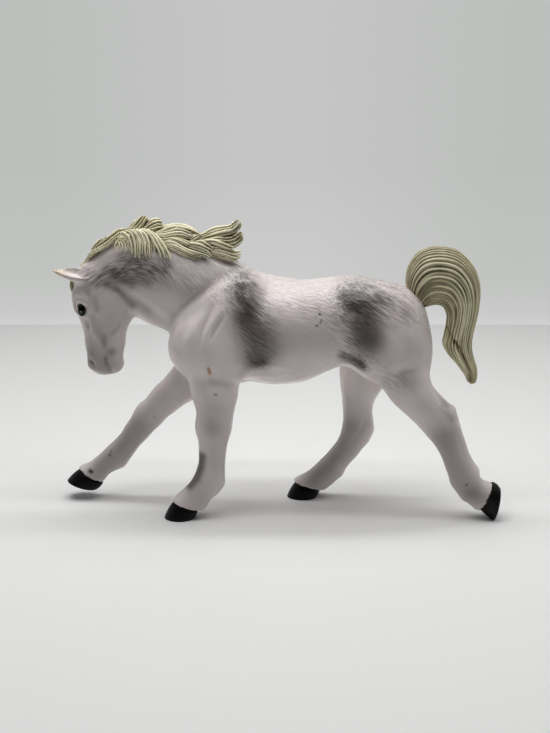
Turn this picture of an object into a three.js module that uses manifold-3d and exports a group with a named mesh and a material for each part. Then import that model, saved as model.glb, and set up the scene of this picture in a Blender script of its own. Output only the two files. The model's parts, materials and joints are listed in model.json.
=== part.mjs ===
// A toy horse in a long, low-headed trot, cast as separate vinyl mouldings that are pegged and glued.
// Millimetres, +Z up. The horse faces -X, its near (left) side is towards -Y, and it stands on Z = 0.
// Trunk, neck, head and legs are each a skin drawn over blended masses of muscle, wrapped round a spine.
import * as THREE from "three";
import { mergeVertices } from "three/addons/utils/BufferGeometryUtils.js";
import Module from "manifold-3d";

const wasm = await Module();
wasm.setup();

// Torso
const torsoLength = 87; // point of the breast to point of the buttock
const torsoDepth = 35; // back to belly at the girth
const torsoWidth = 31; // across the ribs
const bellyHeight = 43.5; // ground to belly
const torsoBlend = 6; // how softly the trunk's masses run together

// Neck and head
const neckLength = 36; // withers to poll, along the middle of the neck
const neckDepth = 30; // crest to gullet
const neckWidth = 15;
const neckBlend = 7;
const headLength = 33; // poll to lips
const headDepth = 19; // forehead to jaw
const headWidth = 12.5; // across the brows
const headBlend = 2.2;
const earLength = 11;
const earWidth = 5.8;
const earWall = 1;
const eyeLength = 3.9; // down the face
const eyeHeight = 2.9; // across the face
const eyeDepth = 2.2;

// Legs: a depth is front to back, seen from the side
const elbowDepth = 16;
const kneeDepth = 11;
const foreCannonDepth = 8.4;
const thighDepth = 17.5;
const gaskinDepth = 12;
const hockDepth = 11.6;
const hindCannonDepth = 8.4;
const fetlockDepth = 9.6;
const pasternDepth = 7.8;
const legBlend = 2.4;
const foreSpread = 20; // across the two fore hooves
const hindSpread = 21; // across the two hind hooves

// Hooves
const hoofLength = 10.6; // toe to heel on the sole
const hoofWidth = 9.6;
const toeHeight = 5.2;
const heelHeight = 2.4;
const hoofBevel = 0.5;
const raisedHoofLift = 4.6; // the off fore hoof is in the air
const tippedHoofPitch = 79; // the near hind hoof is up on its toe, in degrees

// Tail
const tailReach = 21.5; // root to the rearmost hair
const tailHeight = 47.5; // top of the arch to the tip
const tailWidth = 10;
const tailRidge = 0.5; // height of the combed ridges

// Mane and forelock
const lockWidth = 4.4; // of a full lock, across its strands
const lockThickness = 3;
const forelockWidth = 4;

// Joints between the mouldings
const glueGap = 0.3; // the seam that the glue fills
const pegRadius = 2.2;
const neckPegRadius = 4;
const pegLength = 9;
const pegClearance = 0.3;

// Facets
const torsoRings = 28;
const torsoSides = 28;
const neckRings = 11;
const neckSides = 22;
const headRings = 17;
const headSides = 20;
const legRings = 22;
const legSides = 12;
const capRings = 4;
const hoofSides = 18;
const tailRings = 30;
const tailRidges = 10;
const sidesPerRidge = 3;
const lockSides = 8;
const lockRings = 6;
const earSides = 10;
const eyeSides = 12;
const pegSides = 12;
const raySteps = 120;
const stepShare = 0.5; // how much of the way that is left a ray covers at each step
const jointSteps = 200;
const closeEnough = 0.001;

const NEAR = new THREE.Vector3(0, -1, 0);
const UP = new THREE.Vector3(0, 0, 1);
const FRONT = new THREE.Vector3(-1, 0, 0);
const BACK = new THREE.Vector3(1, 0, 0);
const BOTH = [1, -1];

// A frame turns shares of a part's own length, depth and width into places.
class Frame {
  constructor(origin, along, up, length, depth, width) {
    this.origin = origin;
    this.along = along.clone().normalize();
    this.up = up.clone().addScaledVector(this.along, -up.dot(this.along)).normalize();
    this.length = length;
    this.depth = depth;
    this.width = width;
  }

  place([alongShare, upShare, nearShare]) {
    return this.origin
      .clone()
      .addScaledVector(this.along, alongShare * this.length)
      .addScaledVector(this.up, upShare * this.depth)
      .addScaledVector(NEAR, nearShare * this.width);
  }

  curve(placeShares) {
    return new THREE.CatmullRomCurve3(placeShares.map((shares) => this.place(shares)));
  }
}

// A mass is a round bar between two places, with a radius at each end, pressed slimmer from side to side.
function distanceToMass(point, { from, to, radii, slim }) {
  const px = point.x - from.x;
  const py = (point.y - from.y) / slim;
  const pz = point.z - from.z;
  const bx = to.x - from.x;
  const by = (to.y - from.y) / slim;
  const bz = to.z - from.z;
  const span = bx * bx + by * by + bz * bz;
  const t = span > 0 ? Math.min(1, Math.max(0, (px * bx + py * by + pz * bz) / span)) : 0;
  const gap = Math.hypot(px - bx * t, py - by * t, pz - bz * t);
  return gap - (radii[0] + (radii[1] - radii[0]) * t);
}

// The distance from a point to all the masses, which run together with a soft fillet.
function skinDistance(point, masses, blend) {
  let nearest = distanceToMass(point, masses[0]);
  for (const each of masses.slice(1)) {
    const distance = distanceToMass(point, each);
    const closeness = Math.max(blend - Math.abs(nearest - distance), 0) / blend;
    nearest = Math.min(nearest, distance) - (closeness * closeness * blend) / 4;
  }
  return nearest;
}

// The masses of a part, from a table in shares of its frame, on one side or on both.
function massesFrom(frame, rowShares) {
  return rowShares.flatMap(({ from, to = from, radii, slim = 1, sides = [1] }) =>
    sides.map((side) => ({
      from: frame.place([from[0], from[1], from[2] * side]),
      to: frame.place([to[0], to[1], to[2] * side]),
      radii: [radii[0] * frame.depth, radii.at(-1) * frame.depth],
      slim: (slim * frame.width) / frame.depth,
    })),
  );
}

// A closed geometry as a solid, whichever way round its faces were listed.
function solid(geometry) {
  const triVerts = Uint32Array.from(geometry.index.array);
  const vertProperties = new Float32Array(geometry.attributes.position.array);
  const made = new wasm.Manifold(new wasm.Mesh({ numProp: 3, vertProperties, triVerts }));
  if (made.volume() > 0) return made;
  return new wasm.Manifold(new wasm.Mesh({ numProp: 3, vertProperties, triVerts: triVerts.reverse() }));
}

// A closed geometry with one vertex at each place.
function welded(geometry) {
  geometry.deleteAttribute("normal");
  geometry.deleteAttribute("uv");
  return mergeVertices(geometry, closeEnough);
}

// The solid between rings of points, closed at both ends by a single point.
function ringedSolid(rings, firstPole, lastPole) {
  const sides = rings[0].length;
  const points = [firstPole, ...rings.flat(), lastPole];
  const index = [];
  const at = (ring, side) => 1 + ring * sides + (side % sides);
  for (let side = 0; side < sides; side += 1) {
    index.push(0, at(0, side + 1), at(0, side));
    index.push(points.length - 1, at(rings.length - 1, side), at(rings.length - 1, side + 1));
    for (let ring = 0; ring + 1 < rings.length; ring += 1) {
      index.push(at(ring, side), at(ring, side + 1), at(ring + 1, side + 1));
      index.push(at(ring, side), at(ring + 1, side + 1), at(ring + 1, side));
    }
  }
  const geometry = new THREE.BufferGeometry().setFromPoints(points);
  geometry.setIndex(index);
  return solid(geometry);
}

// Directions on a curve: side is as near to the horse's near side as the curve allows.
function axesAt(curve, share) {
  const tangent = curve.getTangentAt(share);
  const side = NEAR.clone().addScaledVector(tangent, -NEAR.dot(tangent)).normalize();
  return { centre: curve.getPointAt(share), tangent, side, lift: side.clone().cross(tangent) };
}

// An oval ring on a curve, with its height along lift and its thickness along side.
function ovalRing({ centre, side, lift }, halfHeight, halfThickness, sides, outline = () => 1) {
  return Array.from({ length: sides }, (_, k) => {
    const turn = (2 * Math.PI * k) / sides;
    return centre
      .clone()
      .addScaledVector(lift, halfHeight * Math.cos(turn) * outline(turn))
      .addScaledVector(side, halfThickness * Math.sin(turn) * outline(turn));
  });
}

// Wraps a skin round masses: rays leave the spine square to it, and fan out past both of its ends.
function wrapSkin(curve, masses, blend, rings, sides, grow) {
  const reach = (centre, direction) => {
    const point = centre.clone();
    for (let step = 0; step < raySteps; step += 1) {
      const left = grow - skinDistance(point, masses, blend);
      if (Math.abs(left) < closeEnough) break;
      point.addScaledVector(direction, left * stepShare);
    }
    return point;
  };
  const ring = (share, fan) => {
    const { centre, tangent, side, lift } = axesAt(curve, share);
    return Array.from({ length: sides }, (_, k) => {
      const turn = (2 * Math.PI * k) / sides;
      const direction = side.clone().multiplyScalar(Math.cos(turn));
      direction.addScaledVector(lift, Math.sin(turn)).multiplyScalar(Math.cos(fan));
      return reach(centre, direction.addScaledVector(tangent, Math.sin(fan)));
    });
  };
  const fanStep = Math.PI / 2 / (capRings + 1);
  const made = [];
  for (let k = capRings; k > 0; k -= 1) made.push(ring(0, -fanStep * k));
  for (let k = 0; k <= rings; k += 1) made.push(ring(k / rings, 0));
  for (let k = 1; k <= capRings; k += 1) made.push(ring(1, fanStep * k));
  const start = axesAt(curve, 0);
  const end = axesAt(curve, 1);
  return ringedSolid(made, reach(start.centre, start.tangent.negate()), reach(end.centre, end.tangent));
}

const mainBody = (made) => made.decompose().sort((a, b) => b.volume() - a.volume())[0];

// A round peg centred on a place, along a direction.
function peg(middle, direction, length, radius) {
  const bar = welded(new THREE.CylinderGeometry(radius, radius, length, pegSides));
  bar.applyQuaternion(new THREE.Quaternion().setFromUnitVectors(new THREE.Vector3(0, 1, 0), direction));
  bar.translate(middle.x, middle.y, middle.z);
  return solid(bar);
}

// A glued joint where a curve leaves the trunk: the peg on the limb, and its looser socket in the trunk.
function pegJoint(curve, radius) {
  let step = 0;
  const inside = () => skinDistance(curve.getPointAt(step / jointSteps), torsoMasses, torsoBlend) < 0;
  while (step < jointSteps && inside()) step += 1;
  const { centre, tangent } = axesAt(curve, step / jointSteps);
  return {
    tenon: peg(centre, tangent, pegLength, radius),
    socket: peg(centre, tangent, pegLength + 2 * pegClearance, radius + pegClearance),
  };
}

// Trunk: the masses of a horse's body, in shares of its length, depth and width
const girth = new THREE.Vector3(0, 0, bellyHeight);
const torsoFrame = new Frame(girth, BACK, UP, torsoLength, torsoDepth, torsoWidth);
const torsoShares = [
  // ribs, belly and loin
  { from: [0.27, 0.52, 0], to: [0.52, 0.55, 0], radii: [0.475, 0.45] },
  { from: [0.33, 0.43, 0], to: [0.45, 0.43, 0], radii: [0.4, 0.4] },
  { from: [0.67, 0.63, 0], to: [0.85, 0.61, 0], radii: [0.41, 0.33] },
  // breast and its two pectorals
  { from: [0.16, 0.43, 0], radii: [0.345] },
  { from: [0.12, 0.32, 0.19], radii: [0.21], sides: BOTH },
  // withers
  { from: [0.26, 0.96, 0], to: [0.42, 0.84, 0], radii: [0.18, 0.16], slim: 0.75 },
  // shoulder blade, then upper arm to the elbow
  { from: [0.29, 0.93, 0.2], to: [0.12, 0.47, 0.25], radii: [0.15, 0.215], sides: BOTH },
  { from: [0.12, 0.4, 0.25], to: [0.24, 0.2, 0.27], radii: [0.215, 0.19], sides: BOTH },
  // haunch, buttock and the top of the thigh
  { from: [0.73, 0.7, 0.19], to: [0.82, 0.38, 0.23], radii: [0.29, 0.33], sides: BOTH },
  { from: [0.86, 0.73, 0.13], to: [0.905, 0.36, 0.15], radii: [0.19, 0.245], slim: 0.85, sides: BOTH },
];
const torsoSpineShares = [
  [0.14, 0.46, 0],
  [0.4, 0.52, 0],
  [0.65, 0.58, 0],
  [0.85, 0.55, 0],
];
const torsoMasses = massesFrom(torsoFrame, torsoShares);
const wrapTorso = (grow) =>
  wrapSkin(torsoFrame.curve(torsoSpineShares), torsoMasses, torsoBlend, torsoRings, torsoSides, grow);
const torsoCutter = wrapTorso(glueGap);

// Neck: arched, from inside the shoulders to the poll
const neckRootShares = [0.19, 0.785, 0];
const neckRise = new THREE.Vector3(-0.978, 0, 0.21);
const neckRoot = torsoFrame.place(neckRootShares);
const neckFrame = new Frame(neckRoot, neckRise, UP, neckLength, neckDepth, neckWidth);
const neckShares = [
  { from: [0, 0, 0], to: [0.36, 0.1, 0], radii: [0.55, 0.47] },
  { from: [0.36, 0.1, 0], to: [0.67, 0.1, 0], radii: [0.47, 0.395] },
  { from: [0.67, 0.1, 0], to: [0.93, 0.02, 0], radii: [0.395, 0.31] },
  // the crest behind the poll
  { from: [0.8, 0.26, 0], to: [1.04, 0.16, 0], radii: [0.18, 0.16], slim: 0.85 },
];
const neckSpineShares = [
  [0, -0.02, 0],
  [0.36, 0.06, 0],
  [0.67, 0.04, 0],
  [0.93, -0.02, 0],
];
const neckMasses = massesFrom(neckFrame, neckShares);
const neckSpine = neckFrame.curve(neckSpineShares);
const wrapNeck = (grow) => wrapSkin(neckSpine, neckMasses, neckBlend, neckRings, neckSides, grow);

// Head: hangs almost upright from the poll, with the forehead to the front
const pollShares = [1.06, -0.02, 0];
const headFall = new THREE.Vector3(0.02, 0, -1);
const headFrame = new Frame(neckFrame.place(pollShares), headFall, FRONT, headLength, headDepth, headWidth);
const headShares = [
  // cranium, forehead, face and muzzle
  { from: [-0.01, 0.05, 0], to: [0.15, 0.13, 0], radii: [0.4, 0.405] },
  { from: [0.15, 0.13, 0], to: [0.36, 0.11, 0], radii: [0.405, 0.31] },
  { from: [0.36, 0.11, 0], to: [0.62, 0.08, 0], radii: [0.31, 0.265], slim: 0.98 },
  { from: [0.62, 0.1, 0], to: [0.79, 0.05, 0], radii: [0.265, 0.27] },
  // cheeks and the jaw bone down to the chin
  { from: [0.24, -0.12, 0.14], to: [0.36, -0.13, 0.14], radii: [0.4, 0.33], slim: 0.55, sides: BOTH },
  { from: [0.36, -0.2, 0.1], to: [0.62, -0.18, 0.06], radii: [0.2, 0.14], sides: BOTH },
  { from: [0.62, -0.15, 0], to: [0.84, -0.13, 0], radii: [0.16, 0.14] },
  // chin and lips
  { from: [0.855, -0.145, 0], radii: [0.145], slim: 1.1 },
  { from: [0.828, 0.09, 0], radii: [0.215], slim: 1.1 },
  // rims of the nostrils
  { from: [0.8, 0.24, 0.14], to: [0.86, 0.2, 0.2], radii: [0.08, 0.07], sides: BOTH },
  // brows
  { from: [0.15, 0.39, 0.22], to: [0.27, 0.4, 0.26], radii: [0.11, 0.11], sides: BOTH },
];
const headSpineShares = [
  [0.08, 0, 0],
  [0.4, 0, 0],
  [0.82, 0, 0],
];
const headMasses = massesFrom(headFrame, headShares);
const headSpine = headFrame.curve(headSpineShares);
const wrapHead = (grow) => wrapSkin(headSpine, headMasses, headBlend, headRings, headSides, grow);

// An ear is a pointed leaf, hollowed on the side that it opens to.
const earShares = {
  near: { root: [-0.055, 0.22, 0.24], tip: [-0.13, 0.83, 0.34], opens: new THREE.Vector3(0, -0.6, 1) },
  off: { root: [-0.055, 0.22, -0.24], tip: [-0.06, 0.8, -0.34], opens: new THREE.Vector3(0, 0.6, 1) },
};
const earHalfShares = [0.34, 0.5, 0.47, 0.36, 0.19];
const earFlatShare = 0.7;

function earLeaf({ root, tip, opens }, grow, sunk) {
  const from = headFrame.place(root);
  const tangent = headFrame.place(tip).sub(from).normalize();
  const lift = tangent.clone().cross(opens).normalize();
  const side = lift.clone().cross(tangent).normalize();
  const base = from.clone().addScaledVector(side, sunk);
  const raised = (share) => base.clone().addScaledVector(tangent, share * earLength);
  const rings = earHalfShares.map((halfShare, k) => {
    const half = Math.max(halfShare * earWidth + grow, earWall / 4);
    const axes = { centre: raised(k / earHalfShares.length), side, lift };
    return ovalRing(axes, half, half * earFlatShare, earSides);
  });
  return ringedSolid(rings, raised(-earWall / earLength), raised(1));
}

const ear = (shares) => earLeaf(shares, 0, 0).subtract(earLeaf(shares, -earWall / 2, earWall));

// Eyes are gloss beads set in the brows.
const eyeShares = [0.26, 0.34, 0.36];

function eyeball(side, grow) {
  const bead = new THREE.SphereGeometry(1, eyeSides, eyeSides - 4);
  bead.scale(eyeHeight / 2 + grow, eyeDepth / 2 + grow, eyeLength / 2 + grow);
  const { x, y, z } = headFrame.place([eyeShares[0], eyeShares[1], eyeShares[2] * side]);
  bead.translate(x, y, z);
  return solid(welded(bead));
}

// The coronet is the slanted line where horn meets hair: high at the toe and low at the heel.
const coronetShare = 0.88; // the coronet's length and width as shares of the sole's
const toeLeanShare = 0.19; // how far the wall leans back on its way up
const heelPinchShare = 0.12;
const coronetMiddle = new THREE.Vector3(hoofLength * toeLeanShare, 0, (toeHeight + heelHeight) / 2);
const coronetNormal = new THREE.Vector3(toeHeight - heelHeight, 0, hoofLength * coronetShare).normalize();
const toeDrop = (hoofLength / 2) * Math.sin(THREE.MathUtils.degToRad(tippedHoofPitch));

// A hoof as it stands in its own place, sole down and toe to the front.
function hoofSolid(placing) {
  const ring = (heightShare, inset) =>
    Array.from({ length: hoofSides }, (_, k) => {
      const turn = (2 * Math.PI * k) / hoofSides;
      const pinch = 1 - heelPinchShare * Math.max(Math.cos(turn), 0) ** 2;
      const size = (1 + (coronetShare - 1) * heightShare) * pinch;
      const x = (hoofLength / 2 - inset) * size * Math.cos(turn);
      const y = (hoofWidth / 2 - inset) * size * Math.sin(turn);
      const wall = coronetMiddle.z - (x * (toeHeight - heelHeight)) / (hoofLength * coronetShare);
      const place = new THREE.Vector3(x + coronetMiddle.x * heightShare, y, wall * heightShare);
      return place.applyMatrix4(placing);
    });
  const bevelShare = hoofBevel / toeHeight;
  return ringedSolid(
    [ring(0, hoofBevel), ring(bevelShare, 0), ring(1 - bevelShare, 0), ring(1, hoofBevel)],
    new THREE.Vector3().applyMatrix4(placing),
    coronetMiddle.clone().applyMatrix4(placing),
  );
}

// Legs: a joint lies at a share of the trunk's length, of the belly's height and of the hoof's way out from
// the middle, and has a share of the depth that it names. The first joint lies in the trunk, in the trunk's
// own shares. A bump is a bone or a pad at a joint, in shares of the joint's radius.
const legShares = [
  {
    name: "near_fore",
    side: 1,
    spread: foreSpread,
    joints: [
      { inTrunk: [0.2, 0.36, 0.24], depth: elbowDepth, slim: 0.64 },
      { along: 0.182, height: 1.08, out: 0.86, depth: elbowDepth, share: 1.02, slim: 0.62 },
      { along: 0.182, height: 0.99, out: 0.93, depth: elbowDepth, share: 0.93, slim: 0.66 },
      { along: 0.183, height: 0.84, out: 0.98, depth: kneeDepth, share: 1.02, slim: 0.78 },
      { along: 0.178, height: 0.72, depth: kneeDepth, slim: 0.82 },
      { along: 0.171, height: 0.55, depth: foreCannonDepth, slim: 0.8 },
      { along: 0.168, height: 0.43, depth: foreCannonDepth, share: 0.95, slim: 0.82 },
      { along: 0.156, height: 0.3, depth: fetlockDepth, slim: 0.86 },
      { along: 0.113, height: 0.19, depth: pasternDepth, slim: 0.92 },
    ],
    bumps: [
      { joint: 4, front: 0.3, share: 0.8, slim: 0.9 },
      { joint: 7, front: -0.4, share: 0.68, slim: 0.9 },
    ],
    sole: { along: 0.046, lift: 0, pitch: 0 },
  },
  {
    name: "off_fore",
    side: -1,
    spread: foreSpread,
    joints: [
      { inTrunk: [0.15, 0.3, -0.22], depth: elbowDepth, share: 0.95, slim: 0.64 },
      { along: 0.055, height: 0.955, out: 0.86, depth: elbowDepth, share: 0.78, slim: 0.7 },
      { along: -0.022, height: 0.825, out: 0.94, depth: kneeDepth, share: 0.95, slim: 0.76 },
      { along: -0.09, height: 0.68, depth: kneeDepth, share: 0.84, slim: 0.84 },
      { along: -0.139, height: 0.56, depth: kneeDepth, share: 0.74, slim: 0.84 },
      { along: -0.189, height: 0.43, depth: foreCannonDepth, share: 0.86, slim: 0.84 },
      { along: -0.23, height: 0.34, depth: fetlockDepth, share: 0.86, slim: 0.86 },
      { along: -0.286, height: 0.262, depth: pasternDepth, share: 0.82, slim: 0.95 },
    ],
    bumps: [
      { joint: 3, front: 0.25, share: 0.85, slim: 0.9 },
      { joint: 6, front: -0.35, share: 0.7, slim: 0.9 },
    ],
    sole: { along: -0.369, lift: raisedHoofLift, pitch: -17 },
  },
  {
    name: "off_hind",
    side: -1,
    spread: hindSpread,
    joints: [
      { inTrunk: [0.8, 0.4, -0.24], depth: thighDepth, slim: 0.64 },
      { along: 0.757, height: 1.02, out: 0.86, depth: thighDepth, share: 0.95, slim: 0.66 },
      { along: 0.742, height: 0.9, out: 0.95, depth: gaskinDepth, slim: 0.72 },
      { along: 0.735, height: 0.76, depth: gaskinDepth, share: 0.8, slim: 0.78 },
      { along: 0.738, height: 0.55, depth: hockDepth, share: 0.9, slim: 0.76 },
      { along: 0.7, height: 0.41, depth: hindCannonDepth, share: 0.95, slim: 0.84 },
      { along: 0.668, height: 0.335, depth: hindCannonDepth, share: 0.88, slim: 0.84 },
      { along: 0.63, height: 0.235, depth: fetlockDepth, share: 0.88, slim: 0.86 },
      { along: 0.578, height: 0.15, depth: pasternDepth, share: 0.92, slim: 0.95 },
    ],
    bumps: [
      { joint: 4, front: -0.45, down: -0.5, share: 0.5, slim: 0.8 },
      { joint: 7, front: -0.4, share: 0.7, slim: 0.9 },
    ],
    sole: { along: 0.513, lift: 0, pitch: 0 },
  },
  {
    name: "near_hind",
    side: 1,
    spread: hindSpread,
    joints: [
      { inTrunk: [0.84, 0.42, 0.24], depth: thighDepth, slim: 0.64 },
      { along: 0.89, height: 1.07, out: 0.88, depth: thighDepth, share: 0.77, slim: 0.74 },
      { along: 0.931, height: 0.97, out: 0.95, depth: gaskinDepth, share: 1.04, slim: 0.74 },
      { along: 0.982, height: 0.87, depth: gaskinDepth, share: 0.98, slim: 0.74 },
      { along: 1.034, height: 0.75, depth: hockDepth, slim: 0.74 },
      { along: 1.074, height: 0.6, depth: hindCannonDepth, share: 1.05, slim: 0.82 },
      { along: 1.102, height: 0.46, depth: hindCannonDepth, slim: 0.84 },
      { along: 1.134, height: 0.32, depth: fetlockDepth, share: 1.02, slim: 0.86 },
      { along: 1.166, height: 0.205, depth: pasternDepth, share: 1.04, slim: 0.95 },
    ],
    bumps: [
      { joint: 4, front: -0.5, down: -0.45, share: 0.55, slim: 0.8 },
      { joint: 7, front: -0.35, share: 0.7, slim: 0.9 },
    ],
    sole: { along: 1.262, lift: toeDrop - hoofBevel, pitch: tippedHoofPitch },
  },
];

function legParts({ name, side, spread, joints, bumps, sole }) {
  const outward = (side * spread) / 2;
  const place = (along, height, out) =>
    new THREE.Vector3(along * torsoLength, 0, height).addScaledVector(NEAR, outward * out);
  const placing = new THREE.Matrix4().makeRotationY(THREE.MathUtils.degToRad(-sole.pitch));
  placing.setPosition(place(sole.along, sole.lift, 1));
  const seat = coronetMiddle.clone().applyMatrix4(placing);
  const seatNormal = coronetNormal.clone().transformDirection(placing);
  const seatRadius = (hoofLength * coronetShare) / 2 - hoofBevel;
  const hoofSlim = hoofWidth / hoofLength;
  const stations = [
    ...joints.map(({ inTrunk, along, height, out = 1, depth, share = 1, slim }) => ({
      point: inTrunk ? torsoFrame.place(inTrunk) : place(along, height * bellyHeight, out),
      radius: (depth * share) / 2,
      slim,
    })),
    { point: seat, radius: seatRadius, slim: hoofSlim },
  ];
  const masses = stations.slice(1).map((station, k) => ({
    from: stations[k].point,
    to: station.point,
    radii: [stations[k].radius, station.radius],
    slim: station.slim,
  }));
  for (const { joint, front, down = 0, share, slim } of bumps) {
    const { point, radius } = stations[joint];
    const downward = stations[joint + 1].point.clone().sub(stations[joint - 1].point).normalize();
    const forward = downward.clone().cross(NEAR).normalize();
    const at = point.clone().addScaledVector(forward, front * radius);
    at.addScaledVector(downward, down * radius);
    masses.push({ from: at, to: at, radii: [share * radius, share * radius], slim });
  }
  const spine = new THREE.CatmullRomCurve3(stations.map(({ point }) => point), false, "centripetal");
  const joint = pegJoint(spine, pegRadius);
  const skin = wrapSkin(spine, masses, legBlend, legRings, legSides, 0);
  const seated = skin.trimByPlane(seatNormal.toArray(), seat.dot(seatNormal) + glueGap);
  return {
    name,
    leg: mainBody(seated.subtract(torsoCutter)).add(joint.tenon),
    hoof: hoofSolid(placing).trimByPlane(UP.toArray(), 0),
    socket: joint.socket,
  };
}

// Tail: a combed switch between an outer and an inner edge, in shares of its reach and height.
const tailShares = [
  { outer: [-0.12, 0.06], inner: [0.12, -0.055], widthShare: 0.5 },
  { outer: [-0.17, 0.13], inner: [0.17, -0.055], widthShare: 0.66 },
  { outer: [-0.13, 0.24], inner: [0.24, -0.045], widthShare: 0.82 },
  { outer: [0.03, 0.34], inner: [0.3, -0.04], widthShare: 0.95 },
  { outer: [0.31, 0.375], inner: [0.36, -0.045], widthShare: 1 },
  { outer: [0.64, 0.34], inner: [0.42, -0.06], widthShare: 1 },
  { outer: [0.88, 0.23], inner: [0.455, -0.085], widthShare: 0.95 },
  { outer: [0.98, 0.09], inner: [0.475, -0.125], widthShare: 0.88 },
  { outer: [0.975, -0.07], inner: [0.465, -0.18], widthShare: 0.8 },
  { outer: [0.92, -0.21], inner: [0.435, -0.25], widthShare: 0.74 },
  { outer: [0.895, -0.32], inner: [0.425, -0.32], widthShare: 0.68 },
  { outer: [0.93, -0.41], inner: [0.51, -0.39], widthShare: 0.6 },
  { outer: [0.985, -0.49], inner: [0.64, -0.455], widthShare: 0.5 },
  { outer: [0.98, -0.56], inner: [0.78, -0.53], widthShare: 0.36 },
];
const tailTipShares = [0.91, -0.625, 0];
const tailTurn = 0.9; // how far the ridges wind round the tail, in radians
const tailRootShares = [0.94, 0.82, 0];
const tailFrame = new Frame(torsoFrame.place(tailRootShares), BACK, UP, tailReach, tailHeight, tailWidth);

function tailSolid() {
  const outer = tailFrame.curve(tailShares.map((row) => [...row.outer, 0]));
  const inner = tailFrame.curve(tailShares.map((row) => [...row.inner, 0]));
  const sides = tailRidges * sidesPerRidge;
  const rings = Array.from({ length: tailRings + 1 }, (_, k) => {
    const share = k / tailRings;
    const row = share * (tailShares.length - 1);
    const before = tailShares[Math.floor(row)].widthShare;
    const after = tailShares[Math.ceil(row)].widthShare;
    const widthShare = before + (after - before) * (row % 1);
    const across = outer.getPoint(share).sub(inner.getPoint(share));
    const half = across.length() / 2;
    const centre = inner.getPoint(share).addScaledVector(across, 0.5);
    const ridge = (turn) => 1 + (tailRidge / half) * Math.cos(tailRidges * turn + tailTurn * share);
    const axes = { centre, side: NEAR, lift: across.normalize() };
    return ovalRing(axes, half - tailRidge, (tailWidth * widthShare) / 2, sides, ridge);
  });
  return ringedSolid(rings, tailFrame.place([0, 0, 0]), tailFrame.place(tailTipShares));
}

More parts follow.
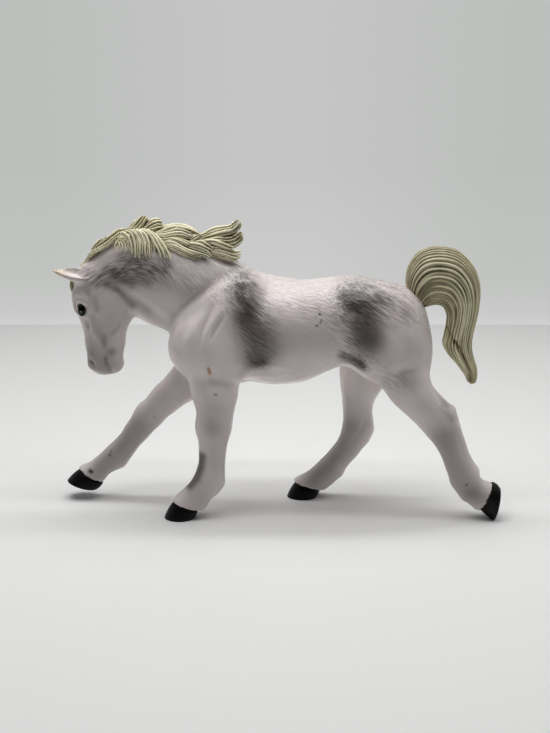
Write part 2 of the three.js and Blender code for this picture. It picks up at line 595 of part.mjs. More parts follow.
// Mane: locks that part from a bed along the crest, in shares of the neck. Each row runs from root to tip.
const maneBedShares = [
  [1.02, 0.4, 0],
  [0.9, 0.46, 0],
  [0.65, 0.52, 0],
  [0.4, 0.54, 0],
  [0.12, 0.54, 0],
];
const maneLockShares = [
  // strands swept up the crest from the poll
  {
    path: [[1.26, 0.08, 0], [1.19, 0.24, 0], [1.11, 0.39, 0], [1.03, 0.5, 0], [0.93, 0.57, 0]],
    widthShare: 0.7,
  },
  {
    path: [[1.23, 0.16, 0.11], [1.15, 0.3, 0.15], [1.06, 0.44, 0.15], [0.94, 0.56, 0.1]],
    widthShare: 0.55,
  },
  {
    path: [[1.23, 0.16, -0.11], [1.15, 0.3, -0.15], [1.05, 0.44, -0.15], [0.93, 0.56, -0.1]],
    widthShare: 0.55,
  },
  // locks that fall on the near side
  { path: [[0.95, 0.56, 0.05], [0.9, 0.5, 0.3], [0.85, 0.4, 0.4], [0.81, 0.28, 0.44]], widthShare: 0.75 },
  {
    path: [[0.88, 0.58, 0.05], [0.82, 0.52, 0.32], [0.77, 0.41, 0.42], [0.73, 0.3, 0.46]],
    widthShare: 0.85,
  },
  {
    path: [[0.82, 0.6, 0.05], [0.75, 0.54, 0.32], [0.69, 0.44, 0.42], [0.65, 0.33, 0.47]],
    widthShare: 0.85,
  },
  {
    path: [[0.76, 0.61, 0.05], [0.69, 0.55, 0.32], [0.62, 0.46, 0.42], [0.58, 0.36, 0.47]],
    widthShare: 0.85,
  },
  {
    path: [[0.71, 0.61, 0.05], [0.63, 0.55, 0.32], [0.55, 0.46, 0.42], [0.5, 0.37, 0.47]],
    widthShare: 0.85,
  },
  // locks that fall on the off side
  {
    path: [[0.92, 0.57, -0.05], [0.88, 0.5, -0.3], [0.83, 0.4, -0.4], [0.77, 0.29, -0.45]],
    widthShare: 0.85,
  },
  {
    path: [[0.8, 0.6, -0.05], [0.74, 0.54, -0.32], [0.68, 0.44, -0.42], [0.62, 0.33, -0.47]],
    widthShare: 1,
  },
  {
    path: [[0.64, 0.6, -0.05], [0.58, 0.55, -0.3], [0.52, 0.46, -0.42], [0.46, 0.36, -0.48]],
    widthShare: 1,
  },
  {
    path: [[0.5, 0.6, -0.05], [0.42, 0.57, -0.32], [0.34, 0.5, -0.43], [0.25, 0.44, -0.5]],
    widthShare: 0.9,
  },
  // two locks that stand up
  {
    path: [[0.91, 0.54, 0], [0.87, 0.65, -0.1], [0.83, 0.72, -0.15], [0.77, 0.75, -0.15]],
    widthShare: 0.9,
  },
  {
    path: [[0.79, 0.56, 0], [0.75, 0.66, -0.1], [0.7, 0.72, -0.15], [0.63, 0.73, -0.15]],
    widthShare: 0.95,
  },
  // locks swept back over the shoulder, one across another
  {
    path: [[0.7, 0.6, 0], [0.59, 0.7, 0.07], [0.46, 0.76, 0.1], [0.36, 0.75, 0.1], [0.27, 0.7, 0.07]],
    widthShare: 0.95,
  },
  { path: [[0.68, 0.57, 0.1], [0.52, 0.66, 0.2], [0.38, 0.67, 0.22], [0.26, 0.72, 0.17]], widthShare: 0.9 },
  {
    path: [[0.62, 0.57, 0.15], [0.48, 0.61, 0.32], [0.34, 0.6, 0.34], [0.24, 0.68, 0.28]],
    widthShare: 0.85,
  },
  {
    path: [[0.6, 0.56, 0.15], [0.46, 0.54, 0.38], [0.34, 0.5, 0.44], [0.23, 0.48, 0.48]],
    widthShare: 0.85,
  },
  {
    path: [[0.5, 0.57, 0.15], [0.38, 0.57, 0.38], [0.26, 0.54, 0.44], [0.14, 0.51, 0.48]],
    widthShare: 0.85,
  },
  // the loose end, flying in curls
  {
    path: [[0.34, 0.58, 0], [0.2, 0.73, 0.08], [0.06, 0.81, 0.1], [-0.02, 0.86, 0.07], [-0.045, 0.95, 0.03]],
    widthShare: 1,
  },
  {
    path: [[0.34, 0.58, 0.1], [0.16, 0.68, 0.2], [0.02, 0.71, 0.2], [-0.07, 0.75, 0.17], [-0.1, 0.84, 0.1]],
    widthShare: 1,
  },
  {
    path: [[0.3, 0.56, 0.1], [0.13, 0.61, 0.28], [0, 0.62, 0.28], [-0.09, 0.64, 0.24], [-0.13, 0.71, 0.18]],
    widthShare: 0.95,
  },
  {
    path: [[0.28, 0.54, 0.1], [0.1, 0.55, 0.3], [-0.02, 0.54, 0.33], [-0.1, 0.56, 0.28], [-0.13, 0.62, 0.2]],
    widthShare: 0.9,
  },
  { path: [[0.3, 0.56, -0.1], [0.12, 0.62, -0.24], [0, 0.65, -0.24], [-0.08, 0.7, -0.17]], widthShare: 1 },
];
const lockRootShare = 0.24; // a lock is fullest a little way from its root
const strandCutShare = 0.2; // how deep the strands are cut into a lock
const bedWidthShare = 1.5;

// One lock: a curl that swells from its root and runs out to a point, with strands cut along it.
function lockSolid(frame, { path, widthShare }, width, thickness, grow) {
  const curve = frame.curve(path);
  const outline = (turn) => 1 - (strandCutShare / 2) * (1 - Math.cos((turn * lockSides) / 2));
  const rings = Array.from({ length: lockRings }, (_, k) => {
    const share = k / lockRings;
    const swell = Math.sin(Math.PI * (lockRootShare + (1 - lockRootShare) * share));
    const half = ((swell * widthShare) / 2) * width + grow;
    const halfThickness = ((swell * widthShare) / 2) * thickness + grow;
    return ovalRing(axesAt(curve, share), half, halfThickness, lockSides, outline);
  });
  return ringedSolid(rings, curve.getPoint(0), curve.getPoint(1));
}

function maneSolid(grow) {
  const bed = { path: maneBedShares, widthShare: bedWidthShare };
  return [bed, ...maneLockShares]
    .map((row) => lockSolid(neckFrame, row, lockWidth, lockThickness, grow))
    .reduce((made, lock) => made.add(lock));
}

// Forelock: one lock that hangs between the ears.
const forelockShares = {
  path: [[-0.12, 0.1, 0], [-0.1, 0.33, 0], [0.02, 0.5, 0], [0.14, 0.53, 0.02]],
  widthShare: 1,
};

// The solid of neck, head and ears, with room round it where another piece is laid on it.
const skull = (grow) =>
  [wrapNeck(grow), wrapHead(grow), ...Object.values(earShares).map((each) => earLeaf(each, grow, 0))].reduce(
    (made, each) => made.add(each),
  );

const neckJoint = pegJoint(neckSpine, neckPegRadius);
const dockShares = { inTrunk: [0.86, 0.7, 0], inTail: [0.15, 0.09, 0] };
const dock = new THREE.LineCurve3(torsoFrame.place(dockShares.inTrunk), tailFrame.place(dockShares.inTail));
const tailJoint = pegJoint(dock, pegRadius);
const legs = legShares.map(legParts);
const skullCutter = skull(glueGap);

const torso = [neckJoint, tailJoint, ...legs].reduce(
  (made, { socket }) => made.subtract(socket),
  wrapTorso(0),
);
const neckAndHead = [eyeball(1, glueGap), eyeball(-1, glueGap), torsoCutter].reduce(
  (made, cutter) => made.subtract(cutter),
  wrapNeck(0).add(wrapHead(0)).add(ear(earShares.near)).add(ear(earShares.off)),
);
const tail = mainBody(tailSolid().subtract(torsoCutter)).add(tailJoint.tenon);
const mane = mainBody(maneSolid(0).subtract(skullCutter).subtract(torsoCutter));
const forelockLock = lockSolid(headFrame, forelockShares, forelockWidth, lockThickness, 0);
const forelock = mainBody(forelockLock.subtract(skullCutter).subtract(maneSolid(glueGap)));

// Paint: off-white vinyl, black hooves, dusty yellow hair and gloss eyes
const paint = (name, color, roughness) =>
  new THREE.MeshStandardMaterial({ name, color, roughness, metalness: 0 });
const coat = paint("painted_vinyl", 0xd2cac8, 0.5);
const horn = paint("black_paint", 0x141414, 0.35);
const hair = paint("dusty_yellow_paint", 0xc2ba8e, 0.6);
const gloss = paint("gloss_black_paint", 0x050505, 0.08);

function node(name, made, material) {
  const { numProp, vertProperties, triVerts } = made.getMesh();
  const geometry = new THREE.BufferGeometry();
  const packed = new THREE.InterleavedBuffer(vertProperties, numProp);
  geometry.setAttribute("position", new THREE.InterleavedBufferAttribute(packed, 3, 0));
  geometry.setIndex(new THREE.BufferAttribute(triVerts, 1));
  geometry.computeVertexNormals();
  const mesh = new THREE.Mesh(geometry, material);
  mesh.name = name;
  return mesh;
}

const horse = new THREE.Group();
horse.add(node("torso", torso, coat));
horse.add(node("neck_and_head", mainBody(neckAndHead).add(neckJoint.tenon), coat));
for (const { name, leg, hoof } of legs) {
  horse.add(node(`${name}_leg`, leg, coat), node(`${name}_hoof`, hoof, horn));
}
horse.add(node("tail", tail, hair), node("mane", mane, hair), node("forelock", forelock, hair));
horse.add(node("near_eye", eyeball(1, 0), gloss), node("off_eye", eyeball(-1, 0), gloss));

// The horse stands over the middle of its box, with its lowest hoof on the ground.
const box = new THREE.Box3().setFromObject(horse);
const middle = box.getCenter(new THREE.Vector3());
horse.position.set(-middle.x, -middle.y, -box.min.z);

export default horse;
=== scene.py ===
"""A toy horse, moulded in vinyl and painted by hand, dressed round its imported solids.

Metres, +Z up. The nose points to -X and the near (left) flank to -Y. Places along the horse are written in
millimetres: x behind the front of the trunk, y to the off side, z above the ground.
"""

import json
import logging
import math
from collections.abc import Iterator
from contextlib import contextmanager
from dataclasses import dataclass
from enum import Enum

import bpy
import numpy as np
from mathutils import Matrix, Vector
from mathutils.bvhtree import BVHTree

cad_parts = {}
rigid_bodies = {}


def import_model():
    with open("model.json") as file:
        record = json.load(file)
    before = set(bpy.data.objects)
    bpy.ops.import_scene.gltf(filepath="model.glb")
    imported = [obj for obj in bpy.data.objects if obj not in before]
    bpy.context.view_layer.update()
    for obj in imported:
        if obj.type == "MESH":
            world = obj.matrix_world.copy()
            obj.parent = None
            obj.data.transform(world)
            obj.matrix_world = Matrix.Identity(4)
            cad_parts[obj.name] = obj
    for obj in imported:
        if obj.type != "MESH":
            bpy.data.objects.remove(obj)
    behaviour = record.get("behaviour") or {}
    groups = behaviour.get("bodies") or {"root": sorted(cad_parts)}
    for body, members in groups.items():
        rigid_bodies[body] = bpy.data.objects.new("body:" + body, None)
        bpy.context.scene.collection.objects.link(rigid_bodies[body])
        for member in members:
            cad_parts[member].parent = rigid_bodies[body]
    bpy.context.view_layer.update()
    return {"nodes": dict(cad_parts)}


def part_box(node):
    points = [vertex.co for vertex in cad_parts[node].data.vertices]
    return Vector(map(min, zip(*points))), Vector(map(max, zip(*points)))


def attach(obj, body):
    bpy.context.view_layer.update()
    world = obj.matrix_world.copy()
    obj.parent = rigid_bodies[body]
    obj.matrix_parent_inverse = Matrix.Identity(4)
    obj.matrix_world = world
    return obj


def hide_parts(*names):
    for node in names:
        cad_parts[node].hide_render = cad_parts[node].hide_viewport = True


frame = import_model()

LOG = logging.getLogger("horse")
MM = 0.001
TRUNK_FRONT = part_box("torso")[0].x
SEED = 7
WELD_MM = 0.002
END_FADE = -0.15
NOISE_VALUES = 4096
NOISE_PRIMES = (73856093, 19349663, 83492791)
EYE_PLACE = (-28.1, 4.5, 69.5)
CURVE_POINTS = 400
LOCK_POINTS = 200
CLEAR_MM = 0.05
LOOK_OUTWARDS = 1.15
Spot = tuple[float, float]
Place = tuple[float, float, float]
Piece = bpy.types.Object
Material = bpy.types.Material
Tree = bpy.types.NodeTree
Laid = tuple[np.ndarray, np.ndarray, float]


class Side(Enum):
    """The flank that a mark lies on, as the sign of Y."""

    NEAR = -1
    OFF = 1
    BOTH = 0


class Profile(Enum):
    """The section of a mark: a round ridge or groove, or a fold with one side up and the other down."""

    ROUND = "round"
    FOLD = "fold"


def to_metres(place: Place) -> Vector:
    """Turns a place in the horse's millimetres into one in the shared frame, in metres."""
    return Vector((TRUNK_FRONT + place[0] * MM, place[1] * MM, place[2] * MM))


def take(*pieces: Piece) -> None:
    """Selects these objects and nothing else, and makes the first one active."""
    bpy.ops.object.select_all(action="DESELECT")
    for each in pieces:
        each.select_set(True)
    bpy.context.view_layer.objects.active = pieces[0]


@contextmanager
def editing(piece: Piece, part: str = "VERT", chosen: np.ndarray | None = None) -> Iterator[None]:
    """Keeps a piece in edit mode.

    Args:
        piece: the object.
        part: what is selected there: VERT, EDGE or FACE.
        chosen: which of them are selected at the start, or None to leave the selection as it is.
    """
    items = {"VERT": piece.data.vertices, "EDGE": piece.data.edges, "FACE": piece.data.polygons}
    take(piece)
    if chosen is not None:
        for name, each in items.items():
            each.foreach_set("select", chosen if name == part else np.zeros(len(each), dtype=bool))
    bpy.context.tool_settings.mesh_select_mode = [name == part for name in items]
    bpy.ops.object.mode_set(mode="EDIT")
    yield
    bpy.ops.object.mode_set(mode="OBJECT")


def turn_outwards(piece: Piece, weld: bool = False) -> None:
    """Turns every face of a piece outwards.

    Args:
        piece: the object.
        weld: whether vertices that share a spot are joined first.
    """
    with editing(piece):
        bpy.ops.mesh.select_all(action="SELECT")
        if weld:
            bpy.ops.mesh.remove_doubles(threshold=WELD_MM * MM)
        bpy.ops.mesh.normals_make_consistent(inside=False)


def apply_modifier(piece: Piece, kind: str, **settings: object) -> None:
    """Adds a modifier, sets it and applies it.

    Args:
        piece: the object to change.
        kind: the modifier's type.
        settings: its settings.
    """
    take(piece)
    modifier = piece.modifiers.new(kind.title(), kind)
    for name, value in settings.items():
        setattr(modifier, name, value)
    bpy.ops.object.modifier_apply(modifier=modifier.name)


def read(items: bpy.types.bpy_prop_collection, name: str, columns: int = 3, kind: type = float) -> np.ndarray:
    """Reads one property of every vertex, edge or face.

    Args:
        items: the mesh's vertices, edges or faces.
        name: the property.
        columns: how many numbers it has.
        kind: the type of the numbers.

    Returns:
        One row each.
    """
    values = np.empty(len(items) * columns, dtype=kind)
    items.foreach_get(name, values)
    return values.reshape(-1, columns)


def read_points(piece: Piece) -> np.ndarray:
    """Returns the piece's vertices in the horse's millimetres, one row each."""
    return (read(piece.data.vertices, "co") - (TRUNK_FRONT, 0, 0)) / MM


def read_normals(piece: Piece) -> np.ndarray:
    """Returns the piece's vertex normals, one row each."""
    return read(piece.data.vertices, "normal")


def read_edges(piece: Piece) -> np.ndarray:
    """Returns the two vertices of each of the piece's edges."""
    return read(piece.data.edges, "vertices", 2, np.int64)


def face_middles(piece: Piece) -> np.ndarray:
    """Returns the middle of each face in the horse's millimetres."""
    return (read(piece.data.polygons, "center") - (TRUNK_FRONT, 0, 0)) / MM


def write_points(piece: Piece, points: np.ndarray) -> None:
    """Sets the piece's vertices from places in the horse's millimetres."""
    metres = points * MM + (TRUNK_FRONT, 0, 0)
    piece.data.vertices.foreach_set("co", metres.ravel())
    piece.data.update()


def store(piece: Piece, name: str, values: np.ndarray) -> None:
    """Keeps a number or a vector per vertex as an attribute that a material can read.

    Args:
        piece: the object.
        name: the attribute's name.
        values: one number or one row of three per vertex.
    """
    kind, field_name = ("FLOAT", "value") if values.ndim == 1 else ("FLOAT_VECTOR", "vector")
    attribute = piece.data.attributes.new(name, kind, "POINT")
    attribute.data.foreach_set(field_name, values.astype(np.float32).ravel())


def neighbour_mean(edges: np.ndarray, values: np.ndarray) -> np.ndarray:
    """Averages values over each vertex's neighbours.

    Args:
        edges: pairs of vertices.
        values: one row or number per vertex.

    Returns:
        The mean of the neighbours' values, shaped as values. A vertex without neighbours keeps its own.
    """
    ends = np.concatenate([edges[:, 0], edges[:, 1]])
    others = np.concatenate([edges[:, 1], edges[:, 0]])
    columns = values.reshape(len(values), -1)
    count = np.bincount(ends, minlength=len(values))
    sums = [np.bincount(ends, column[others], len(values)) for column in columns.T]
    means = np.stack(sums, 1) / np.maximum(count, 1)[:, None]
    means[count == 0] = columns[count == 0]
    return means.reshape(values.shape)


def smooth_step(low: float, high: float, values: np.ndarray) -> np.ndarray:
    """Returns 0 below low, 1 above high and a soft ramp between them."""
    share = np.clip((values - low) / (high - low), 0, 1)
    return share * share * (3 - 2 * share)


def fade(span: Spot, values: np.ndarray) -> np.ndarray:
    """Returns 0 before the first number of a span, 1 beyond the second and a soft ramp between them."""
    return smooth_step(*span, values)


def bell(away: np.ndarray, width: float) -> np.ndarray:
    """Returns 1 at no distance, falling off softly over a width."""
    return np.exp(-((away / width) ** 2))


def lattice_noise(points: np.ndarray, seed: int) -> np.ndarray:
    """Smooth random values between -1 and 1, on a lattice of one unit.

    Args:
        points: one row of three numbers per value.
        seed: chooses the values.

    Returns:
        One value per point.
    """
    table = np.random.default_rng(seed).uniform(-1, 1, NOISE_VALUES)
    cell = np.floor(points).astype(np.int64)
    share = points - cell
    share = share * share * (3 - 2 * share)
    total = np.zeros(len(points))
    for corner in np.ndindex(2, 2, 2):
        weight = np.prod(np.where(corner, share, 1 - share), axis=1)
        keys = (cell + corner) * NOISE_PRIMES
        total += weight * table[(keys[:, 0] ^ keys[:, 1] ^ keys[:, 2]) & (NOISE_VALUES - 1)]
    return total


@dataclass(frozen=True)
class Mark:
    """A soft line on the flank: the edge of a muscle, a crease, or a pass of the airbrush.

    Attributes:
        path: (x, z) places in millimetres.
        width: half the width of the line, in millimetres.
        amount: its height, less than zero for a groove, or how much paint it lays down.
        side: the flank it lies on.
        profile: its section.
    """

    path: tuple[Spot, ...]
    width: float
    amount: float
    side: Side = Side.BOTH
    profile: Profile = Profile.ROUND

    def laid_on(self, points: np.ndarray, taper: float = 0.0) -> np.ndarray:
        """Returns the mark's height or paint at each place.

        Args:
            points: places in the horse's millimetres.
            taper: the share of the line's length over which each end fades.

        Returns:
            One value per place.
        """
        flank = points[:, [0, 2]]
        nearest = np.full(len(flank), np.inf)
        signed = np.zeros(len(flank))
        walked = np.zeros(len(flank))
        ends = self.path if len(self.path) > 1 else self.path * 2
        gone = 0.0
        for start, end in zip(ends[:-1], ends[1:]):
            along = np.subtract(end, start)
            length = max(float(np.hypot(*along)), 1e-6)
            offset = flank - start
            share = np.clip(offset @ along / length**2, 0, 1)
            away = offset - share[:, None] * along
            distance = np.hypot(away[:, 0], away[:, 1])
            closer = distance < nearest
            nearest[closer] = distance[closer]
            signed[closer] = np.sign(along[0] * offset[closer, 1] - along[1] * offset[closer, 0])
            walked[closer] = gone + share[closer] * length
            gone += length
        height = bell(nearest, self.width)
        if taper and len(self.path) > 1:
            height *= smooth_step(END_FADE, taper, np.minimum(walked, gone - walked) / gone)
        if self.profile is Profile.FOLD:
            height = 2 * height * signed * nearest / self.width
        return self.amount * height * on_side(points, self.side)


def on_side(points: np.ndarray, side: Side) -> np.ndarray:
    """Says how far places lie on a flank, with a soft change within a millimetre of the middle.

    Args:
        points: places in the horse's millimetres.
        side: the flank.

    Returns:
        1 on that flank and 0 on the other, and 1 everywhere for both.
    """
    if side is Side.BOTH:
        return np.ones(len(points))
    return smooth_step(-1, 1, points[:, 1] * side.value)


def marks_on(points: np.ndarray, marks: tuple[Mark, ...], taper: float = 0.0) -> np.ndarray:
    """Returns the sum of the marks at each place."""
    return sum((mark.laid_on(points, taper) for mark in marks), np.zeros(len(points)))


@dataclass(frozen=True)
class Push:
    """A thumb's push at the clay.

    Attributes:
        place: (x, z) in millimetres.
        move: how far it goes, in millimetres.
        radius: how wide the thumb is, in millimetres.
        side: the flank it is on.
    """

    place: Spot
    move: Spot
    radius: float
    side: Side = Side.BOTH

    def laid_on(self, points: np.ndarray) -> np.ndarray:
        """Returns how far each place moves."""
        away = np.hypot(points[:, 0] - self.place[0], points[:, 2] - self.place[1])
        share = bell(away, self.radius) * on_side(points, self.side)
        return share[:, None] * (self.move[0], 0, self.move[1])


def linear(hex_colour: str) -> tuple[float, float, float, float]:
    """Turns an sRGB hex colour into the linear one that the shader works in.

    Args:
        hex_colour: a hash and six digits.

    Returns:
        Red, green, blue and an alpha of 1.
    """
    parts = [int(hex_colour[k : k + 2], 16) / 255 for k in (1, 3, 5)]
    red, green, blue = [c / 12.92 if c <= 0.04045 else ((c + 0.055) / 1.055) ** 2.4 for c in parts]
    return (red, green, blue, 1.0)


def add_node(tree: Tree, kind: str, settings: dict[object, object] | None = None) -> bpy.types.Node:
    """Adds a shader node with its settings and links.

    Args:
        tree: the material's node tree.
        kind: the node's type, without its ShaderNode.
        settings: by name or number, the node's properties, the values of its inputs and what feeds them: an
            output, or a node whose first output is meant. A colour ramp's stops are places with hex colours.

    Returns:
        The new node.
    """
    made = tree.nodes.new(f"ShaderNode{kind}")
    for name, value in (settings or {}).items():
        if name == "stops":
            stops = made.color_ramp.elements
            while len(stops) < len(value):
                stops.new(0.5)
            for stop, (place, colour) in zip(stops, sorted(value.items())):
                stop.position = place
                stop.color = linear(colour)
        elif isinstance(value, bpy.types.Node):
            tree.links.new(value.outputs[0], made.inputs[name])
        elif isinstance(value, bpy.types.NodeSocket):
            tree.links.new(value, made.inputs[name])
        elif isinstance(name, str) and hasattr(made, name):
            setattr(made, name, value)
        else:
            made.inputs[name].default_value = value
    return made


def new_material(name: str) -> tuple[Material, Tree]:
    """Makes an empty node material.

    Args:
        name: what it is called.

    Returns:
        The material and its node tree.
    """
    material = bpy.data.materials.new(name)
    material.use_nodes = True
    material.node_tree.nodes.clear()
    return material, material.node_tree


@dataclass(frozen=True)
class AirbrushedVinyl:
    """Soft PVC with moulded hair, sprayed off-white and shaded grey by airbrush, with painted shade in its
    hollows: satin, slightly waxy.

    The satin skin gives the bright band along the back under the lamps. Short engraved hairs break it up.
    """

    coat: str = "#eae0de"
    shade: str = "#b5a5a2"
    # the dark grey of the airbrush, laid both as patches and as painted shade under the mane, on the cheek,
    # in creases and on the far legs
    spray: str = "#302827"
    # painted shade in the creases
    groove_shade: str = "#5d5350"
    ear_cream: str = "#dcc49b"
    hoof_paint: str = "#070708"
    scuff: str = "#a86f38"
    roughness: float = 0.27
    hair_spacing_mm: float = 0.5
    hair_length_mm: float = 4.2
    hair_height_mm: float = 0.05
    cloud_per_mm: Place = (0.07, 0.09, 0.09)
    most_cloud: float = 0.18
    most_gap: float = 0.4
    parting: float = 0.8
    most_spray_and_shade: float = 0.95
    most_groove_shade: float = 0.4

    def material(self) -> Material:
        """Makes the finish from the attributes that the skin keeps.

        Returns:
            The material, which reads flow, the spray with its painted shade, cavity, cream, horn, furred and
            worn.
        """
        material, tree = new_material("airbrushed_vinyl")
        spray, cavity, cream, horn, furred, worn = (
            add_node(tree, "Attribute", {"attribute_name": name}).outputs["Fac"]
            for name in ("spray", "cavity", "cream", "horn", "furred", "worn")
        )
        flow = add_node(tree, "Attribute", {"attribute_name": "flow"}).outputs["Vector"]
        along, across = 1 / self.hair_length_mm, 1 / self.hair_spacing_mm
        laid = add_node(tree, "Mapping", {"Vector": flow, "Scale": (along, across, across)})
        noise = add_node(tree, "TexNoise", {"Vector": laid, "Scale": 1.0, "Detail": 1.5, "Roughness": 0.55})
        hairs = add_node(tree, "MapRange", {"Value": noise, "From Min": 0.36, "From Max": 0.64})
        soft = add_node(tree, "Mapping", {"Vector": flow, "Scale": self.cloud_per_mm})
        noise = add_node(tree, "TexNoise", {"Vector": soft, "Scale": 1.0, "Detail": 2.0})
        clouds = {"Value": noise, "From Min": 0.4, "From Max": 0.7, "To Max": self.most_cloud}
        # the gaps between the moulded hairs are painted darker in the shade colour: painted shade
        between = {"Value": hairs, "From Max": 0.75, "To Min": self.most_gap, "To Max": 0.0}
        gaps = {"operation": "MULTIPLY", 0: add_node(tree, "MapRange", between), 1: furred}
        # the hairs part the spray and its painted shade where they are thin
        parted = add_node(tree, "MapRange", {"Value": hairs, "To Min": self.parting, "To Max": -self.parting})
        bare = add_node(tree, "Math", {"operation": "SUBTRACT", 0: 1.0, 1: spray})
        fringe = add_node(tree, "Math", {"operation": "MULTIPLY", 0: bare, 1: spray})
        fringe = add_node(tree, "Math", {"operation": "MULTIPLY", 0: fringe, 1: furred})
        broken = add_node(tree, "Math", {"operation": "MULTIPLY_ADD", 0: parted, 1: fringe, 2: spray})
        # painted shade in the creases, from the cavity
        darkening = {"Value": cavity, "From Min": 0.52, "From Max": 0.95, "To Max": self.most_groove_shade}
        colour = linear(self.coat)
        for share, over in (
            (add_node(tree, "MapRange", clouds), self.shade),
            (add_node(tree, "Math", gaps), self.shade),
            (add_node(tree, "MapRange", {"Value": broken, "To Max": self.most_spray_and_shade}), self.spray),
            (add_node(tree, "MapRange", darkening), self.groove_shade),
            (cream, self.ear_cream),
            (worn, self.scuff),
            (horn, self.hoof_paint),
        ):
            colour = add_node(tree, "MixRGB", {"Fac": share, "Color1": colour, "Color2": linear(over)})
        relief = add_node(tree, "Math", {"operation": "MULTIPLY", 0: hairs, 1: furred})
        bump = add_node(tree, "Bump", {"Height": relief, "Distance": self.hair_height_mm * MM})
        paint = {"Base Color": colour, "Normal": bump, "Roughness": self.roughness, "IOR": 1.5}
        add_node(tree, "OutputMaterial", {"Surface": add_node(tree, "BsdfPrincipled", paint)})
        return material


@dataclass(frozen=True)
class HairPaintWithShade:
    """Vinyl hair sprayed cream, painted paler on its crests as a painted highlight and darker in its grooves
    and gaps as painted shade: matt and chalky.
    """

    # a painted highlight on the crests, the hair's own cream between, and painted shade in the grooves
    crest: str = "#f6f0cf"
    body: str = "#bcb28b"
    groove: str = "#40382a"
    roughness: float = 0.55
    patches_per_metre: float = 260.0
    unevenness: float = 0.35

    def material(self) -> Material:
        """Makes the finish from the depth of the grooves, with painted highlight on the crests and painted
        shade in the grooves.

        Returns:
            The material, which reads Object coordinates and the attribute cavity.
        """
        material, tree = new_material("hair_paint_with_painted_shade")
        cavity = add_node(tree, "Attribute", {"attribute_name": "cavity"}).outputs["Fac"]
        places = add_node(tree, "TexCoord").outputs["Object"]
        noise = {"Vector": places, "Scale": self.patches_per_metre, "Detail": 3.0}
        patches = add_node(tree, "TexNoise", noise)
        centred = add_node(tree, "Math", {"operation": "SUBTRACT", 0: patches, 1: 0.5})
        uneven = {"operation": "MULTIPLY_ADD", 0: centred, 1: self.unevenness, 2: cavity}
        stops = {0.12: self.crest, 0.45: self.body, 0.85: self.groove}
        colour = add_node(tree, "ValToRGB", {"Fac": add_node(tree, "Math", uneven), "stops": stops})
        paint = {"Base Color": colour, "Roughness": self.roughness, "IOR": 1.5}
        add_node(tree, "OutputMaterial", {"Surface": add_node(tree, "BsdfPrincipled", paint)})
        return material


@dataclass(frozen=True)
class BrushedBlack:
    """Black acrylic brushed on the hooves: satin, with faint brush marks and rubbed edges."""

    paint: str = "#030303"
    rubbed: str = "#121110"
    roughness: float = 0.42
    sheen: float = 0.2
    streaks_per_metre: float = 900.0
    streak_height_mm: float = 0.05

    def material(self) -> Material:
        """Makes the finish.

        Returns:
            The material, which reads Object coordinates.
        """
        material, tree = new_material("brushed_black_paint")
        places = add_node(tree, "TexCoord").outputs["Object"]
        noise = {"Vector": places, "Scale": self.streaks_per_metre, "Detail": 3.0}
        streaks = add_node(tree, "TexNoise", noise)
        colour = add_node(tree, "ValToRGB", {"Fac": streaks, "stops": {0.5: self.paint, 0.95: self.rubbed}})
        raised = {"Height": streaks, "Strength": 0.25, "Distance": self.streak_height_mm * MM}
        paint = {"Base Color": colour, "Normal": add_node(tree, "Bump", raised)}
        paint |= {"Roughness": self.roughness, "IOR": 1.45, "Specular IOR Level": self.sheen}
        add_node(tree, "OutputMaterial", {"Surface": add_node(tree, "BsdfPrincipled", paint)})
        return material


@dataclass(frozen=True)
class EyeLacquer:
    """Semi-gloss black paint with a dark brown depth and one dab of white, a painted highlight: a single
    bright point.
    """

    black: str = "#020202"
    brown: str = "#0d0906"
    highlight_white: str = "#d8d8d8"
    roughness: float = 0.22
    sheen: float = 0.3
    clouds_per_metre: float = 500.0

    def material(self) -> Material:
        """Makes the finish with its dab of white, a painted highlight.

        Returns:
            The material, which reads Object coordinates and the attribute glint.
        """
        material, tree = new_material("eye_lacquer")
        places = add_node(tree, "TexCoord").outputs["Object"]
        depth = add_node(tree, "TexNoise", {"Vector": places, "Scale": self.clouds_per_metre})
        colour = add_node(tree, "ValToRGB", {"Fac": depth, "stops": {0.4: self.black, 0.9: self.brown}})
        # the glint is a painted highlight: a dab of white
        glint = add_node(tree, "Attribute", {"attribute_name": "glint"}).outputs["Fac"]
        highlighted = add_node(tree, "MixRGB", {"Fac": glint, "Color1": colour, "Color2": linear(self.highlight_white)})
        paint = {"Base Color": highlighted, "Roughness": self.roughness}
        paint |= {"IOR": 1.45, "Specular IOR Level": self.sheen}
        add_node(tree, "OutputMaterial", {"Surface": add_node(tree, "BsdfPrincipled", paint)})
        return material


def ride_as(piece: Piece, slot: str, material: Material, *nodes: str) -> None:
    """Dresses a finished piece and ties it to the frame.

    Args:
        piece: the finished object.
        slot: the record's material slot; not used.
        material: its finish.
        nodes: the solids that it stands for.
    """
    piece.data.materials.clear()
    piece.data.materials.append(material)
    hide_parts(*nodes)
    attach(piece, "root")
    LOG.info("%s: %d faces, stands for %s", piece.name, len(piece.data.polygons), ", ".join(nodes))


def cavity_of(piece: Piece, depth: float, passes: int) -> np.ndarray:
    """Says how deep in a groove each vertex lies, which sets the painted shade there.

    Args:
        piece: the object.
        depth: how far below its neighbours a vertex lies in a full groove, in millimetres.
        passes: how widely the answer is spread.

    Returns:
        0 on a sharp crest, a half on a flat and 1 in a full groove.
    """
    points = read_points(piece)
    edges = read_edges(piece)
    sunk = np.sum((neighbour_mean(edges, points) - points) * read_normals(piece), axis=1)
    for _ in range(passes):
        sunk = (sunk + neighbour_mean(edges, sunk)) / 2
    return np.clip(0.5 + sunk / depth / 2, 0, 1)


